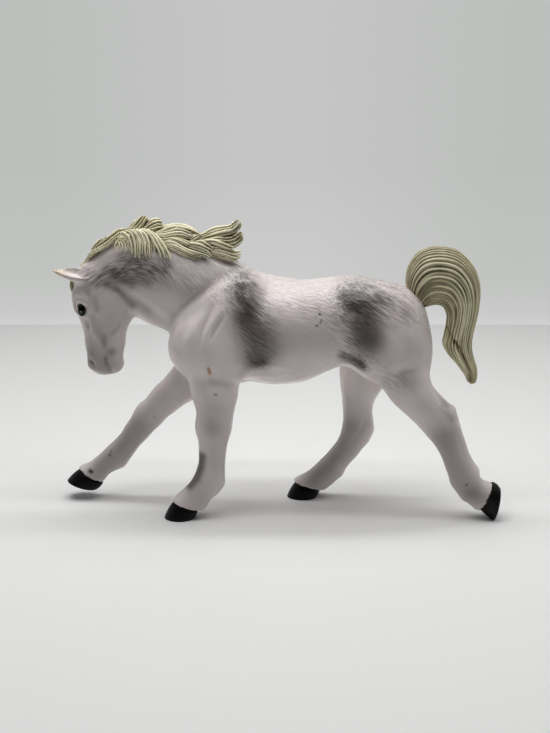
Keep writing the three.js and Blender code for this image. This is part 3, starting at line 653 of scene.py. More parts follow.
def keep_largest(piece: Piece) -> None:
    """Deletes every loose shell but the one with the most vertices.

    Args:
        piece: the object.
    """
    edges = read_edges(piece)
    label = np.arange(len(piece.data.vertices))
    while True:
        lowest = label.copy()
        np.minimum.at(lowest, edges[:, 0], label[edges[:, 1]])
        np.minimum.at(lowest, edges[:, 1], label[edges[:, 0]])
        lowest = lowest[lowest]
        if np.array_equal(lowest, label):
            break
        label = lowest
    labels, sizes = np.unique(label, return_counts=True)
    with editing(piece, "VERT", label != labels[np.argmax(sizes)]):
        bpy.ops.mesh.delete(type="VERT")


@dataclass(frozen=True)
class Cut:
    """A plane through one limb, where its moulding meets the next.

    Attributes:
        node: the solid that the piece beyond the plane stands for.
        middle: a place on the plane, inside the limb.
        direction: points along the limb, to its far end.
        seed: a place on the limb beyond the plane.
        reach: how far from the middle the plane may cut, in millimetres.
    """

    node: str
    middle: Place
    direction: Place
    seed: Place
    reach: float


@dataclass
class Skin:
    """The painted vinyl mouldings: trunk, neck with head and ears, and the four legs.

    The solids are swollen until they meet, drawn over with one even skin, shrunk back and relaxed. The skin
    is then modelled by listed marks and cut again where the mouldings meet. Lengths are in millimetres.
    A field that ends in _fade holds where something starts to show and where it is full.
    """

    nodes: tuple[str, ...] = (
        "torso",
        "neck_and_head",
        "near_fore_leg",
        "off_fore_leg",
        "off_hind_leg",
        "near_hind_leg",
    )
    voxel: float = 0.36
    swell: float = 0.34
    shrink: float = 0.8
    first_passes: int = 10
    relax_passes: int = 36
    fillet_passes: int = 160
    putty_passes: int = 12
    head_passes: int = 3
    head_front: float = -12.0
    head_heights: Spot = (44.0, 90.0)
    ear_height_fade: Spot = (77.0, 79.5)
    ear_front_fade: Spot = (-23.0, -25.5)
    ear_hold: float = 0.93
    ears: tuple[tuple[Place, Place], ...] = (
        ((-25.8, -3.0, 80.1), (-37.4, -4.3, 82.4)),
        ((-25.8, 3.0, 80.1), (-36.8, 4.3, 80.1)),
    )
    ear_growth: float = 0.12
    ear_round_fade: Spot = (4.4, 3.6)
    ear_along_fade: Spot = (0.12, 0.4)
    cream_front_fade: Spot = (-31.0, -36.5)
    cream_height_fade: Spot = (76.5, 78.5)
    most_cream: float = 0.75
    pastern_reach: float = 8.0
    flare_height: float = 5.5
    flare_start: float = -4.0
    flare_size: float = 0.3
    flare_behind: float = 0.7
    flank_fade: Spot = (0.1, 0.55)
    mark_taper: float = 0.4
    eye_half: Place = (1.3, 1.15, 2.1)
    eye_slant: float = 0.3
    eye_almond: float = 0.22
    eye_end: float = 1.5
    upper_lid_fade: Spot = (-0.4, 0.8)
    lid_ring: Spot = (1.25, 0.24)
    lid_rise: Spot = (0.15, 0.4)
    crease_ring: Spot = (1.9, 0.3)
    crease_depth: float = 0.3
    socket_fade: Spot = (1.08, 0.8)
    socket_depth: float = 0.9
    long_hairs_per_mm: Place = (0.3, 2.0, 2.0)
    broad_hairs_per_mm: Place = (0.16, 0.9, 0.9)
    spray_hairs_per_mm: Place = (0.2, 0.8, 0.8)
    fur_height: float = 0.045
    spray_grain: float = 0.9
    crease_shade_depth: float = 0.05
    horn_line: float = 0.55
    horn_edge: float = 0.12
    horn_strokes_per_mm: Spot = (0.9, 2.3)
    horn_raggedness: Spot = (0.5, 0.25)
    lie: tuple[Spot, ...] = (
        # x, and how steeply the coat runs down there
        (-40.0, -0.7),
        (-20.0, -0.6),
        (-12.0, -0.1),
        (-4.0, 0.7),
        (2.0, 1.4),
        (12.0, 0.9),
        (22.0, 1.1),
        (30.0, 0.6),
        (42.0, 0.4),
        (54.0, 0.45),
        (66.0, 0.6),
        (82.0, 0.8),
        (115.0, 1.0),
    )
    lie_from: float = -45.0
    lie_step: float = 0.5
    lie_steps: int = 331
    muscles: tuple[Mark, ...] = (
        # shoulder blade, its front edge and the hollow before it
        Mark(((22.3, 80.1), (17.8, 77.6), (12.3, 73.3), (7.1, 68.9), (4.3, 65.3)), 1.7, 0.85),
        Mark(((16.5, 80.3), (9.5, 75.0), (4.5, 70.5), (1.8, 66.5)), 1.5, -0.7),
        Mark(
            ((26.2, 78.8), (24.6, 74.3), (23.4, 68.8), (23.1, 63.5), (24.2, 57.0)),
            2.4,
            0.5,
            profile=Profile.FOLD,
        ),
        # long creases down the shoulder and the upper arm
        Mark(((9.7, 71.1), (5.9, 66.9), (4.3, 62.2), (3.9, 57.7)), 1.3, -0.5),
        Mark(((15.4, 73.6), (13.2, 68.8), (11.4, 64.5), (10.2, 58.5)), 1.1, -0.75),
        Mark(((19.2, 70.6), (16.2, 66.3), (13.4, 61.2)), 1.1, -0.55),
        Mark(((12.4, 70.5), (9.3, 66.0), (7.6, 60.5)), 1.4, 0.35),
        Mark(((17.5, 71.0), (14.8, 66.5), (12.2, 61.0)), 1.1, 0.4),
        Mark(((7.6, 70.3), (4.0, 66.4), (2.2, 61.8), (1.9, 57.5)), 1.3, 0.35),
        # elbow flap and the lower edge of the ribs
        Mark(((19.5, 43.5), (23.2, 48.4), (25.2, 50.8), (27.9, 52.6), (31.4, 53.4), (37.0, 52.8)), 0.85, 0.8),
        Mark(((23.4, 52.8), (27.0, 55.4), (33.0, 56.0)), 1.7, -0.55),
        Mark(((27.5, 48.8), (33.5, 50.0), (39.5, 50.6)), 0.9, -0.25),
        # flank fold, the hollow over it and the point of the hip
        Mark(((55.9, 52.3), (58.1, 53.3), (61.3, 52.9), (64.4, 51.1), (68.3, 46.7)), 1.1, 0.7),
        Mark(((57.0, 56.5), (61.0, 56.0), (64.5, 53.8)), 1.8, -0.75),
        Mark(((55.5, 79.5), (58.5, 78.0)), 2.6, 0.45),
        Mark(((58.0, 72.0), (60.5, 66.0), (61.5, 60.0)), 3.5, -0.6),
        Mark(((66.0, 52.5), (70.5, 47.5)), 1.6, -0.35),
        # buttock and thigh
        Mark(((84.0, 72.0), (85.2, 63.0), (84.0, 55.0)), 1.4, -0.4),
        Mark(((73.4, 64.8),), 6.0, 0.6),
        Mark(((72.5, 50.8), (76.3, 51.6), (81.5, 51.2)), 1.4, -0.4),
        Mark(((76.0, 60.0), (78.5, 55.5)), 2.6, -0.3),
        # neck: crest, groove under its great muscle, windpipe
        Mark(((-12.0, 76.0), (-6.5, 70.3), (-1.5, 65.6), (1.2, 62.8)), 1.7, -0.6),
        Mark(((-9.0, 77.5), (-3.5, 72.5), (1.5, 68.2)), 2.2, 0.5),
        Mark(((-13.5, 72.5), (-8.4, 68.0), (-4.1, 64.6)), 1.3, 0.4),
        Mark(((-15.0, 79.6), (-9.0, 79.4), (-3.0, 78.4)), 1.8, -0.45),
        # leg tendons and the hollows of the hocks and knees
        Mark(((87.2, 44.4), (89.0, 41.4), (91.4, 39.0), (93.0, 37.0)), 1.2, -0.8, Side.NEAR),
        Mark(((94.3, 31.1), (96.5, 24.6), (98.3, 18.8)), 1.2, -0.45, Side.NEAR),
        Mark(((92.0, 30.0), (94.5, 23.5), (96.5, 17.5)), 1.1, 0.3, Side.NEAR),
        Mark(((66.5, 29.5), (63.8, 24.0), (60.0, 18.5)), 0.9, -0.35, Side.OFF),
        Mark(((16.9, 26.0), (16.6, 20.0), (16.2, 15.5)), 1.1, -0.35, Side.NEAR),
        Mark(((13.2, 27.0), (13.2, 20.0), (12.5, 15.0)), 1.1, 0.25, Side.NEAR),
        Mark(((12.0, 45.5), (13.0, 40.0), (13.5, 36.0)), 1.2, -0.3, Side.NEAR),
        Mark(((18.5, 46.0), (18.0, 40.0), (17.4, 36.0)), 1.2, -0.3, Side.NEAR),
        Mark(((14.6, 32.4),), 2.2, 0.25, Side.NEAR),
    )
    face: tuple[Mark, ...] = (
        # cheek, its back edge and the jaw
        Mark(((-18.4, 69.5),), 5.0, 0.6),
        Mark(((-19.5, 77.8), (-16.2, 76.6), (-14.0, 74.4), (-13.1, 71.4), (-13.6, 67.8)), 1.3, -0.75),
        Mark(((-14.3, 69.0), (-14.6, 66.6), (-16.2, 62.6), (-18.4, 60.2)), 0.7, 0.5),
        Mark(((-16.2, 67.0), (-17.6, 63.5), (-20.0, 60.6)), 1.1, -0.55),
        Mark(((-19.5, 57.5), (-18.8, 54.5)), 1.8, -0.5),
        # facial crest, temple and the bony ridge under the eye
        Mark(((-24.9, 66.9), (-24.5, 62.8), (-23.6, 58.6)), 0.8, 0.7),
        Mark(((-22.9, 68.0), (-22.6, 62.5), (-21.4, 58.0)), 1.0, -0.7),
        Mark(((-26.1, 77.5), (-25.6, 74.0), (-25.4, 71.0)), 1.0, -0.7),
        Mark(((-27.0, 66.6), (-26.3, 63.0)), 0.6, -0.55),
        Mark(((-29.4, 74.6), (-28.2, 73.6), (-26.4, 73.2)), 0.7, 0.4),
        # nostril with its rim
        Mark(((-26.7, 52.7), (-25.9, 51.2), (-24.8, 50.2)), 0.7, -1.1),
        Mark(((-27.6, 53.6), (-27.6, 51.8), (-26.6, 50.0), (-24.8, 48.9)), 0.55, 0.5),
        Mark(((-26.3, 54.4), (-24.6, 52.8), (-23.4, 51.0)), 0.7, 0.5),
        # mouth, its corner and the lips
        Mark(((-19.1, 46.8), (-19.6, 48.9), (-20.4, 50.7), (-21.2, 52.8)), 0.55, -0.7),
        Mark(((-21.2, 53.0),), 0.6, -0.5),
        Mark(((-17.6, 50.0),), 1.7, 0.45),
        Mark(((-22.4, 49.0),), 1.7, 0.35),
        Mark(((-21.2, 57.6), (-21.1, 60.4)), 0.7, -0.25),
        Mark(((-19.2, 55.0),), 1.0, -0.25),
    )
    # airbrushed patches, and painted shade where the comments below say so
    spray: tuple[Mark, ...] = (
        # behind the shoulder
        Mark(((24.2, 78.2), (25.2, 74.6), (25.8, 70.8)), 3.6, 1.7),
        Mark(((26.4, 68.6), (28.2, 63.0), (29.2, 58.0)), 4.5, 1.8),
        Mark(((28.4, 55.6), (30.6, 55.2)), 2.4, 1.3),
        Mark(((32.6, 65.0), (34.6, 59.0)), 4.0, 0.5),
        # flank
        Mark(((57.6, 75.2), (61.6, 74.6)), 2.8, 1.9),
        Mark(((61.4, 73.6), (62.0, 68.6), (63.2, 62.4)), 4.4, 1.9),
        Mark(((67.0, 74.0), (67.0, 67.0), (65.6, 62.0)), 4.4, 0.85),
        Mark(((73.0, 76.0), (75.0, 70.0)), 4.0, 0.4),
        Mark(((57.2, 55.8), (60.4, 54.8), (62.6, 53.4)), 1.7, 1.6),
        Mark(((66.0, 56.4), (76.0, 50.0)), 3.4, 0.2),
        Mark(((72.0, 48.4), (79.0, 47.4)), 2.8, 0.3, Side.NEAR),
        # under the mane and behind the jaw: painted shadow
        Mark(((-22.4, 79.6), (-18.0, 81.4), (-13.0, 80.4), (-7.0, 80.2)), 2.8, 0.9),
        Mark(((-13.0, 85.0), (-6.0, 84.6), (-1.0, 83.8)), 2.8, 1.1),
        Mark(((-16.6, 80.6), (-11.6, 79.0)), 1.8, 0.8),
        Mark(((-4.0, 79.4), (3.0, 78.4), (9.0, 75.6)), 3.4, 0.35),
        Mark(((-19.4, 78.0), (-15.9, 76.4), (-13.5, 74.0), (-11.6, 71.4)), 1.4, 0.9),
        Mark(((-10.8, 72.4), (-6.4, 69.6)), 1.6, 0.3),
        # the middle of the flank and of the haunch: painted shade
        Mark(((36.0, 62.0), (54.0, 62.5)), 7.0, 0.2),
        Mark(((76.0, 66.0), (81.0, 58.0)), 5.0, 0.14),
        # muzzle, face, knees, fetlocks and legs: the muzzle and the lower legs darker, with painted shade on
        # the cheek, in the creases, along the fetlocks and on the far legs
        Mark(((-26.0, 54.0), (-21.0, 49.5)), 4.2, 0.68),
        # painted shade on the cheek and in the creases of the face
        Mark(((-19.0, 69.5), (-21.0, 60.0)), 6.0, 0.32),
        Mark(((-19.2, 55.2),), 1.9, 0.4),
        Mark(((-23.2, 70.0), (-23.6, 73.6)), 1.2, 0.35),
        Mark(((-24.4, 62.0), (-24.6, 67.0)), 1.0, 0.25),
        Mark(((-21.3, 57.4), (-21.2, 60.8)), 0.9, 0.4),
        Mark(((-21.0, 51.2), (-21.0, 53.4)), 0.8, 0.4),
        Mark(((-26.2, 75.5), (-26.0, 79.5)), 1.4, 0.4),
        Mark(((14.4, 32.3),), 3.0, 0.3, Side.NEAR),
        # painted shade where the foreleg meets the trunk
        Mark(((14.6, 47.8), (19.0, 47.2)), 1.4, 0.22, Side.NEAR),
        Mark(((15.5, 38.0), (15.5, 26.0), (14.5, 17.0), (9.0, 7.0)), 5.5, 0.34, Side.NEAR),
        # painted shade down the front edge of the fetlock
        Mark(((10.6, 22.0), (10.0, 18.5), (8.8, 15.2), (6.4, 12.2)), 1.4, 2.3, Side.NEAR),
        # painted shade on the far legs
        Mark(((-12.0, 26.0), (-26.0, 10.0)), 4.8, 0.75, Side.OFF),
        Mark(((6.0, 44.0), (-6.0, 32.0)), 4.5, 0.26, Side.OFF),
        Mark(((64.0, 46.0), (62.0, 34.0)), 5.0, 0.22, Side.OFF),
        Mark(((60.0, 26.0), (56.0, 17.0), (48.0, 8.0)), 4.6, 0.7, Side.OFF),
        Mark(((84.0, 40.0), (92.0, 30.0)), 5.0, 0.2, Side.NEAR),
        Mark(((89.5, 29.0), (94.0, 19.0), (98.8, 10.0)), 4.4, 0.85, Side.NEAR),
        Mark(((100.5, 10.0), (104.5, 7.0)), 3.2, 0.55, Side.NEAR),
        # painted shade in the hollow of the hock
        Mark(((89.5, 39.6), (92.4, 35.6)), 1.3, 0.5, Side.NEAR),
    )
    fur: tuple[Mark, ...] = (
        # where the moulded hair shows: crest, withers, back and croup, then the low edges of the flank
        Mark(((-25.0, 81.0), (-12.0, 84.0), (4.0, 82.0), (18.0, 80.0)), 5.0, 1.0),
        Mark(((22.0, 78.0), (38.0, 75.0), (54.0, 75.0), (72.0, 75.0), (84.0, 70.0)), 7.5, 1.2),
        Mark(((28.0, 66.0), (30.0, 56.0)), 5.0, 0.7),
        Mark(((56.0, 66.0), (59.0, 57.0), (67.0, 51.5), (74.0, 47.0)), 4.0, 0.8),
        Mark(((33.0, 51.0), (44.0, 50.0)), 2.6, 0.4),
    )
    wear: tuple[Mark, ...] = (
        Mark(((13.5, 52.5), (13.9, 50.9)), 0.55, 1.0, Side.NEAR),
    )
    specks: tuple[Mark, ...] = (
        Mark(((49.1, 69.7),), 0.42, 1.0, Side.NEAR),
        Mark(((48.0, 69.1),), 0.24, 0.6, Side.NEAR),
        Mark(((49.7, 68.3), (49.3, 67.0)), 0.26, 0.6, Side.NEAR),
        Mark(((48.2, 66.3),), 0.38, 0.9, Side.NEAR),
        Mark(((15.4, 43.9), (15.9, 43.8)), 0.4, 0.6, Side.NEAR),
        Mark(((-22.2, 16.4),), 0.5, 0.4, Side.OFF),
        Mark(((-21.8, 17.6),), 0.35, 0.4, Side.OFF),
        Mark(((-6.4, 30.2),), 0.35, 0.35, Side.OFF),
        Mark(((-29.3, 10.6), (-28.7, 10.3)), 0.6, 0.8, Side.OFF),
        Mark(((97.7, 13.2),), 0.34, 0.6, Side.NEAR),
    )
    fillets: tuple[Mark, ...] = (
        # where putty fills the angles between the solids: thigh and buttock, upper arm, shoulder and neck
        Mark(((73.0, 48.6), (78.0, 50.0), (84.5, 50.2)), 4.2, 1.3, Side.NEAR),
        Mark(((7.0, 47.5), (13.0, 47.5), (17.5, 47.4)), 2.4, 1.2, Side.NEAR),
        Mark(((3.0, 65.0), (9.0, 71.5), (15.0, 78.0)), 3.2, 0.6),
        Mark(((0.0, 47.0), (8.0, 44.0)), 3.0, 1.0, Side.OFF),
        Mark(((60.0, 48.0), (72.0, 46.0)), 3.0, 1.0, Side.OFF),
    )
    pushes: tuple[Push, ...] = (
        # buttock, hock, pastern, elbow, jaw and the crest under the mane
        Push((84.0, 50.0), (1.7, -0.3), 3.2, Side.NEAR),
        Push((94.0, 38.8), (1.0, 0.4), 1.7, Side.NEAR),
        Push((104.8, 15.0), (-0.9, -0.3), 2.2, Side.NEAR),
        Push((24.0, 45.0), (-0.7, 2.5), 2.5, Side.NEAR),
        Push((28.0, 45.6), (0.0, 1.4), 3.4),
        Push((3.6, 8.6), (-0.9, 0.2), 3.0, Side.NEAR),
        Push((-11.6, 66.6), (1.0, 0.0), 3.0),
        Push((-18.0, 88.6), (-0.4, 1.1), 3.4),
    )
    cuts: tuple[Cut, ...] = (
        Cut("neck_and_head", (11.0, 0, 73.0), (-0.72, 0, 0.69), (-20, -5, 70), 30.0),
        Cut("near_fore_leg", (15.3, -9.8, 41.9), (0, -0.05, -1), (15, -14, 35), 11.0),
        Cut("off_fore_leg", (5.5, 9.5, 44.5), (-0.68, 0.1, -0.72), (-10, 13, 28), 11.0),
        Cut("off_hind_leg", (65.7, 9.7, 45.0), (-0.12, 0.1, -1), (63, 14, 30), 12.0),
        Cut("near_hind_leg", (78.6, -9.9, 45.8), (0.4, -0.1, -0.92), (92, -13, 28), 12.0),
    )

    def fuse(self) -> Piece:
        """Draws one even skin over swollen copies of the solids, and shrinks it back.

        Returns:
            The skin, as a new object.
        """
        copies = []
        for name in self.nodes:
            copy = frame["nodes"][name].copy()
            copy.data = copy.data.copy()
            copy.parent = None
            for key in list(copy.keys()):
                del copy[key]
            bpy.context.scene.collection.objects.link(copy)
            copies.append(copy)
        for copy in copies:
            turn_outwards(copy, weld=True)
            apply_modifier(copy, "DISPLACE", strength=self.swell * MM, mid_level=0.0)
        take(*copies)
        bpy.ops.object.join()
        skin = copies[0]
        skin.name = "torso_skin"
        apply_modifier(skin, "REMESH", mode="VOXEL", voxel_size=self.voxel * MM)
        keep_largest(skin)
        apply_modifier(skin, "SMOOTH", factor=0.5, iterations=self.first_passes)
        apply_modifier(skin, "DISPLACE", strength=-self.swell * self.shrink * MM, mid_level=0.0)
        LOG.info("skin: %d vertices", len(skin.data.vertices))
        return skin

    def relax(self, skin: Piece) -> None:
        """Smooths the facets away, less on the thin ears.

        Args:
            skin: the mouldings, still in one.
        """
        points = read_points(skin)
        edges = read_edges(skin)
        ears = fade(self.ear_height_fade, points[:, 2]) * fade(self.ear_front_fade, points[:, 0])
        share = (0.5 * (1 - self.ear_hold * ears))[:, None]
        for _ in range(self.relax_passes):
            points += share * (neighbour_mean(edges, points) - points)
        write_points(skin, points)

    def fill(self, skin: Piece) -> None:
        """Fills the angles between the solids, outwards only, as putty would.

        Args:
            skin: the mouldings, still in one.
        """
        points = read_points(skin)
        normals = read_normals(skin)
        share = np.clip(marks_on(points, self.fillets), 0, 1)
        edges = read_edges(skin)
        edges = edges[(share[edges] > 0.02).any(axis=1)]
        for _ in range(self.fillet_passes):
            pull = ((neighbour_mean(edges, points) - points) * normals).sum(axis=1)
            points += (share * np.maximum(pull, 0))[:, None] * normals
        for _ in range(self.putty_passes):
            points += (0.5 * share)[:, None] * (neighbour_mean(edges, points) - points)
        write_points(skin, points)

    def push(self, skin: Piece) -> None:
        """Corrects the outline with a few pushes."""
        points = read_points(skin)
        write_points(skin, points + sum(push.laid_on(points) for push in self.pushes))

    def flare(self, skin: Piece) -> None:
        """Widens each pastern towards its hoof, most at the front.

        Args:
            skin: the mouldings, still in one.
        """
        points = read_points(skin)
        for hoof in HOOVES:
            seat, up = hoof.seat()
            above = (points - seat) @ up
            radial = points - seat - above[:, None] * up
            away = np.linalg.norm(radial, axis=1)
            near = (away < self.pastern_reach) & (above > self.flare_start)
            share = near * (1 - smooth_step(0, self.flare_height, above))
            forward = 0.5 - 0.5 * radial[:, 0] / np.maximum(away, 1e-6)
            size = self.flare_size * (self.flare_behind + (1 - self.flare_behind) * forward)
            points += (share * size)[:, None] * radial
        write_points(skin, points)

    def draw_out_ears(self, skin: Piece) -> None:
        """Gives the ears back the length and the fine tip that the smoothing took.

        Args:
            skin: the mouldings, still in one.
        """
        points = read_points(skin)
        for root, tip in self.ears:
            axis = np.subtract(tip, root)
            length = float(np.linalg.norm(axis))
            axis /= length
            along = (points - root) @ axis
            away = np.linalg.norm(points - root - along[:, None] * axis, axis=1)
            ear = fade(self.ear_round_fade, away) * fade(self.ear_along_fade, along / length)
            points += (self.ear_growth * ear * along)[:, None] * axis
        write_points(skin, points)

    def model(self, skin: Piece, marks: tuple[Mark, ...]) -> None:
        """Raises ridges and presses grooves into the flanks.

        Args:
            skin: the mouldings, still in one.
            marks: the ridges and grooves.
        """
        points = read_points(skin)
        normals = read_normals(skin)
        rise = marks_on(points, marks, self.mark_taper) * fade(self.flank_fade, np.abs(normals[:, 1]))
        write_points(skin, points + rise[:, None] * normals)

    def refine_head(self, skin: Piece) -> None:
        """Gives the head a finer mesh.

        Args:
            skin: the mouldings, still in one.
        """
        middles = face_middles(skin)
        low, high = self.head_heights
        head = (middles[:, 0] < self.head_front) & (middles[:, 2] > low) & (middles[:, 2] < high)
        with editing(skin, "FACE", head):
            bpy.ops.mesh.subdivide(number_cuts=1, smoothness=0)
        points = read_points(skin)
        edges = read_edges(skin)
        near_head = (points[:, 0] < self.head_front + 1)[:, None]
        for _ in range(self.head_passes):
            points += near_head * 0.5 * (neighbour_mean(edges, points) - points)
        write_points(skin, points)

    def open_eyes(self, skin: Piece) -> None:
        """Sinks a socket for each eye and raises its lids, with a crease round them.

        Args:
            skin: the mouldings, still in one.
        """
        points = read_points(skin)
        normals = read_normals(skin)
        for side in (-1, 1):
            local = (points - np.array(EYE_PLACE) * (1, side, 1)) / self.eye_half
            tall = np.clip(local[:, 2], -self.eye_end, self.eye_end)
            local[:, 0] = (local[:, 0] + self.eye_slant * tall) / (1 + self.eye_almond * tall)
            around = np.linalg.norm(local, axis=1)
            upper = fade(self.upper_lid_fade, tall - 0.5 * local[:, 0])
            lid_at, lid_width = self.lid_ring
            crease_at, crease_width = self.crease_ring
            both, more = self.lid_rise
            rise = (both + more * upper) * bell(around - lid_at, lid_width)
            rise -= self.crease_depth * upper * bell(around - crease_at, crease_width)
            rise -= self.socket_depth * fade(self.socket_fade, around)
            points += rise[:, None] * normals
        write_points(skin, points)

    def flow(self, points: np.ndarray) -> np.ndarray:
        """Lays the lie of the coat: lines of even third value run back and down along the flank.

        Args:
            points: places in the horse's millimetres.

        Returns:
            One row per place.
        """
        stations, slopes = np.array(self.lie).T
        xs = self.lie_from + self.lie_step * np.arange(self.lie_steps)
        drop = np.concatenate([[0], np.cumsum(np.interp(xs[1:], stations, slopes) * self.lie_step)])
        laid = points.copy()
        laid[:, 2] += np.interp(points[:, 0], xs, drop)
        return laid

    def comb(self, skin: Piece) -> None:
        """Raises the coat's longer hairs and keeps what the paint needs to know of each vertex.

        Args:
            skin: the mouldings, still in one.
        """
        points = read_points(skin)
        normals = read_normals(skin)
        flow = self.flow(points)
        furred = np.clip(marks_on(points, self.fur), 0, 1)
        hairs = lattice_noise(flow * self.long_hairs_per_mm, SEED)
        hairs += 0.5 * lattice_noise(flow * self.broad_hairs_per_mm, SEED + 1)
        write_points(skin, points + (self.fur_height * furred * hairs)[:, None] * normals)
        # the spray holds the airbrushed patches and the painted shade alike
        spray = 1 - np.exp(-np.maximum(marks_on(points, self.spray), 0))
        grain = lattice_noise(flow * self.spray_hairs_per_mm, SEED + 2)
        spray += self.spray_grain * grain * furred * spray * (1 - spray)
        cream = fade(self.cream_front_fade, points[:, 0]) * fade(self.cream_height_fade, points[:, 2])
        # cavity sets the painted shade in the creases
        for name, values in {
            "flow": flow,
            "spray": np.clip(spray + marks_on(points, self.specks), 0, 1),
            "furred": furred,
            "worn": np.clip(marks_on(points, self.wear), 0, 1),
            "cavity": cavity_of(skin, self.crease_shade_depth, 3),
            "cream": self.most_cream * cream,
            "horn": self.horn_paint(points),
        }.items():
            store(skin, name, values)

    def horn_paint(self, points: np.ndarray) -> np.ndarray:
        """Says where the hooves' paint has run over the skin, up to a ragged line above each hoof.

        Args:
            points: places in the horse's millimetres.

        Returns:
            1 under the paint and 0 beyond it.
        """
        ragged = np.full(len(points), self.horn_line)
        for k, (strokes, height) in enumerate(zip(self.horn_strokes_per_mm, self.horn_raggedness)):
            ragged += height * lattice_noise(points * strokes, SEED + 4 + k)
        horn = np.zeros(len(points))
        for hoof in HOOVES:
            seat, up = hoof.seat()
            near = np.linalg.norm(points - seat, axis=1) < self.pastern_reach
            bare = smooth_step(-self.horn_edge, self.horn_edge, (points - seat) @ up - ragged)
            horn = np.maximum(horn, near * (1 - bare))
        return horn

    def cut(self, skin: Piece, cut: Cut) -> Piece:
        """Parts a limb from the skin by a plane and closes both.

        Args:
            skin: the object that holds the limb.
            cut: where it is parted.

        Returns:
            The limb as a new object.
        """
        near = np.linalg.norm(face_middles(skin) - cut.middle, axis=1) < cut.reach
        before = set(bpy.data.objects)
        with editing(skin, "FACE", near):
            bpy.ops.mesh.bisect(plane_co=to_metres(cut.middle), plane_no=Vector(cut.direction).normalized())
            bpy.context.tool_settings.mesh_select_mode = (False, True, False)
            bpy.ops.mesh.mark_seam(clear=False)
            bpy.ops.mesh.select_all(action="DESELECT")
        chosen = np.zeros(len(skin.data.polygons), dtype=bool)
        chosen[np.argmin(np.linalg.norm(face_middles(skin) - cut.seed, axis=1))] = True
        with editing(skin, "FACE", chosen):
            bpy.ops.mesh.select_linked(delimit={"SEAM"})
            bpy.ops.mesh.separate(type="SELECTED")
        limb = (set(bpy.data.objects) - before).pop()
        limb.name = f"{cut.node}_skin"
        for piece in (skin, limb):
            with editing(piece):
                bpy.ops.mesh.select_all(action="DESELECT")
                bpy.ops.mesh.select_non_manifold(
                    use_wire=False, use_multi_face=False, use_non_contiguous=False, use_verts=False
                )
                bpy.context.tool_settings.mesh_select_mode = (False, True, False)
                bpy.ops.mesh.mark_sharp()
                bpy.ops.mesh.fill_holes(sides=0)
        return limb

    def build(self, material: Material) -> None:
        """Makes and dresses the mouldings.

        Args:
            material: their finish.
        """
        skin = self.fuse()
        self.relax(skin)
        self.fill(skin)
        self.push(skin)
        self.flare(skin)
        self.draw_out_ears(skin)
        self.model(skin, self.muscles)
        self.refine_head(skin)
        self.model(skin, self.face)
        self.open_eyes(skin)
        self.comb(skin)
        take(skin)
        bpy.ops.object.shade_smooth()
        for cut in self.cuts:
            ride_as(self.cut(skin, cut), "painted_vinyl", material, cut.node)
        ride_as(skin, "painted_vinyl", material, "torso")


def catmull_rom(path: tuple[Place, ...], count: int) -> np.ndarray:
    """Returns points along a smooth curve through given ones.

    Args:
        path: the places that the curve runs through.
        count: how many points to return, the path's ends among them.

    Returns:
        One row per point.
    """
    knots = np.array(path, dtype=float)
    knots = np.vstack([2 * knots[0] - knots[1], knots, 2 * knots[-1] - knots[-2]])
    station = np.linspace(0, len(path) - 1 - 1e-9, count)
    first = station.astype(int)
    share = (station - first)[:, None]
    before, start, end, after = (knots[first + k] for k in range(4))
    return 0.5 * (
        2 * start
        + (end - before) * share
        + (2 * before - 5 * start + 4 * end - after) * share**2
        + (3 * start - before - 3 * end + after) * share**3
    )


def axes_along(points: np.ndarray) -> tuple[np.ndarray, np.ndarray]:
    """Finds two directions square to a curve at each of its points.

    Args:
        points: one row per point.

    Returns:
        The one towards the near side, and the one square to that.
    """
    tangent = np.gradient(points, axis=0)
    tangent /= np.linalg.norm(tangent, axis=1)[:, None]
    side = np.array([0.0, -1.0, 0.0]) + tangent[:, 1:2] * tangent
    side /= np.linalg.norm(side, axis=1)[:, None]
    return side, np.cross(side, tangent)


def gap_shade(piece: Piece, reach: float, rays: int) -> np.ndarray:
    """Says how closed in each vertex is by what stands round it, which sets the painted shade there.

    Args:
        piece: the object.
        reach: how far away a neighbour still counts, in millimetres.
        rays: how many ways each vertex looks.

    Returns:
        0 in the open and 1 in a closed gap.
    """
    tree = BVHTree.FromPolygons(
        [v.co for v in piece.data.vertices], [p.vertices[:] for p in piece.data.polygons]
    )
    ways = np.random.default_rng(SEED).normal(size=(rays, 3))
    ways /= np.linalg.norm(ways, axis=1)[:, None]
    closed = np.zeros(len(piece.data.vertices))
    for vertex in piece.data.vertices:
        start = vertex.co + vertex.normal * CLEAR_MM * MM
        for way in ways:
            toward = vertex.normal * LOOK_OUTWARDS + Vector(way)
            hit = tree.ray_cast(start, toward.normalized(), reach * MM)
            closed[vertex.index] += 1 - hit[3] / (reach * MM) if hit[0] else 0
    return closed / rays


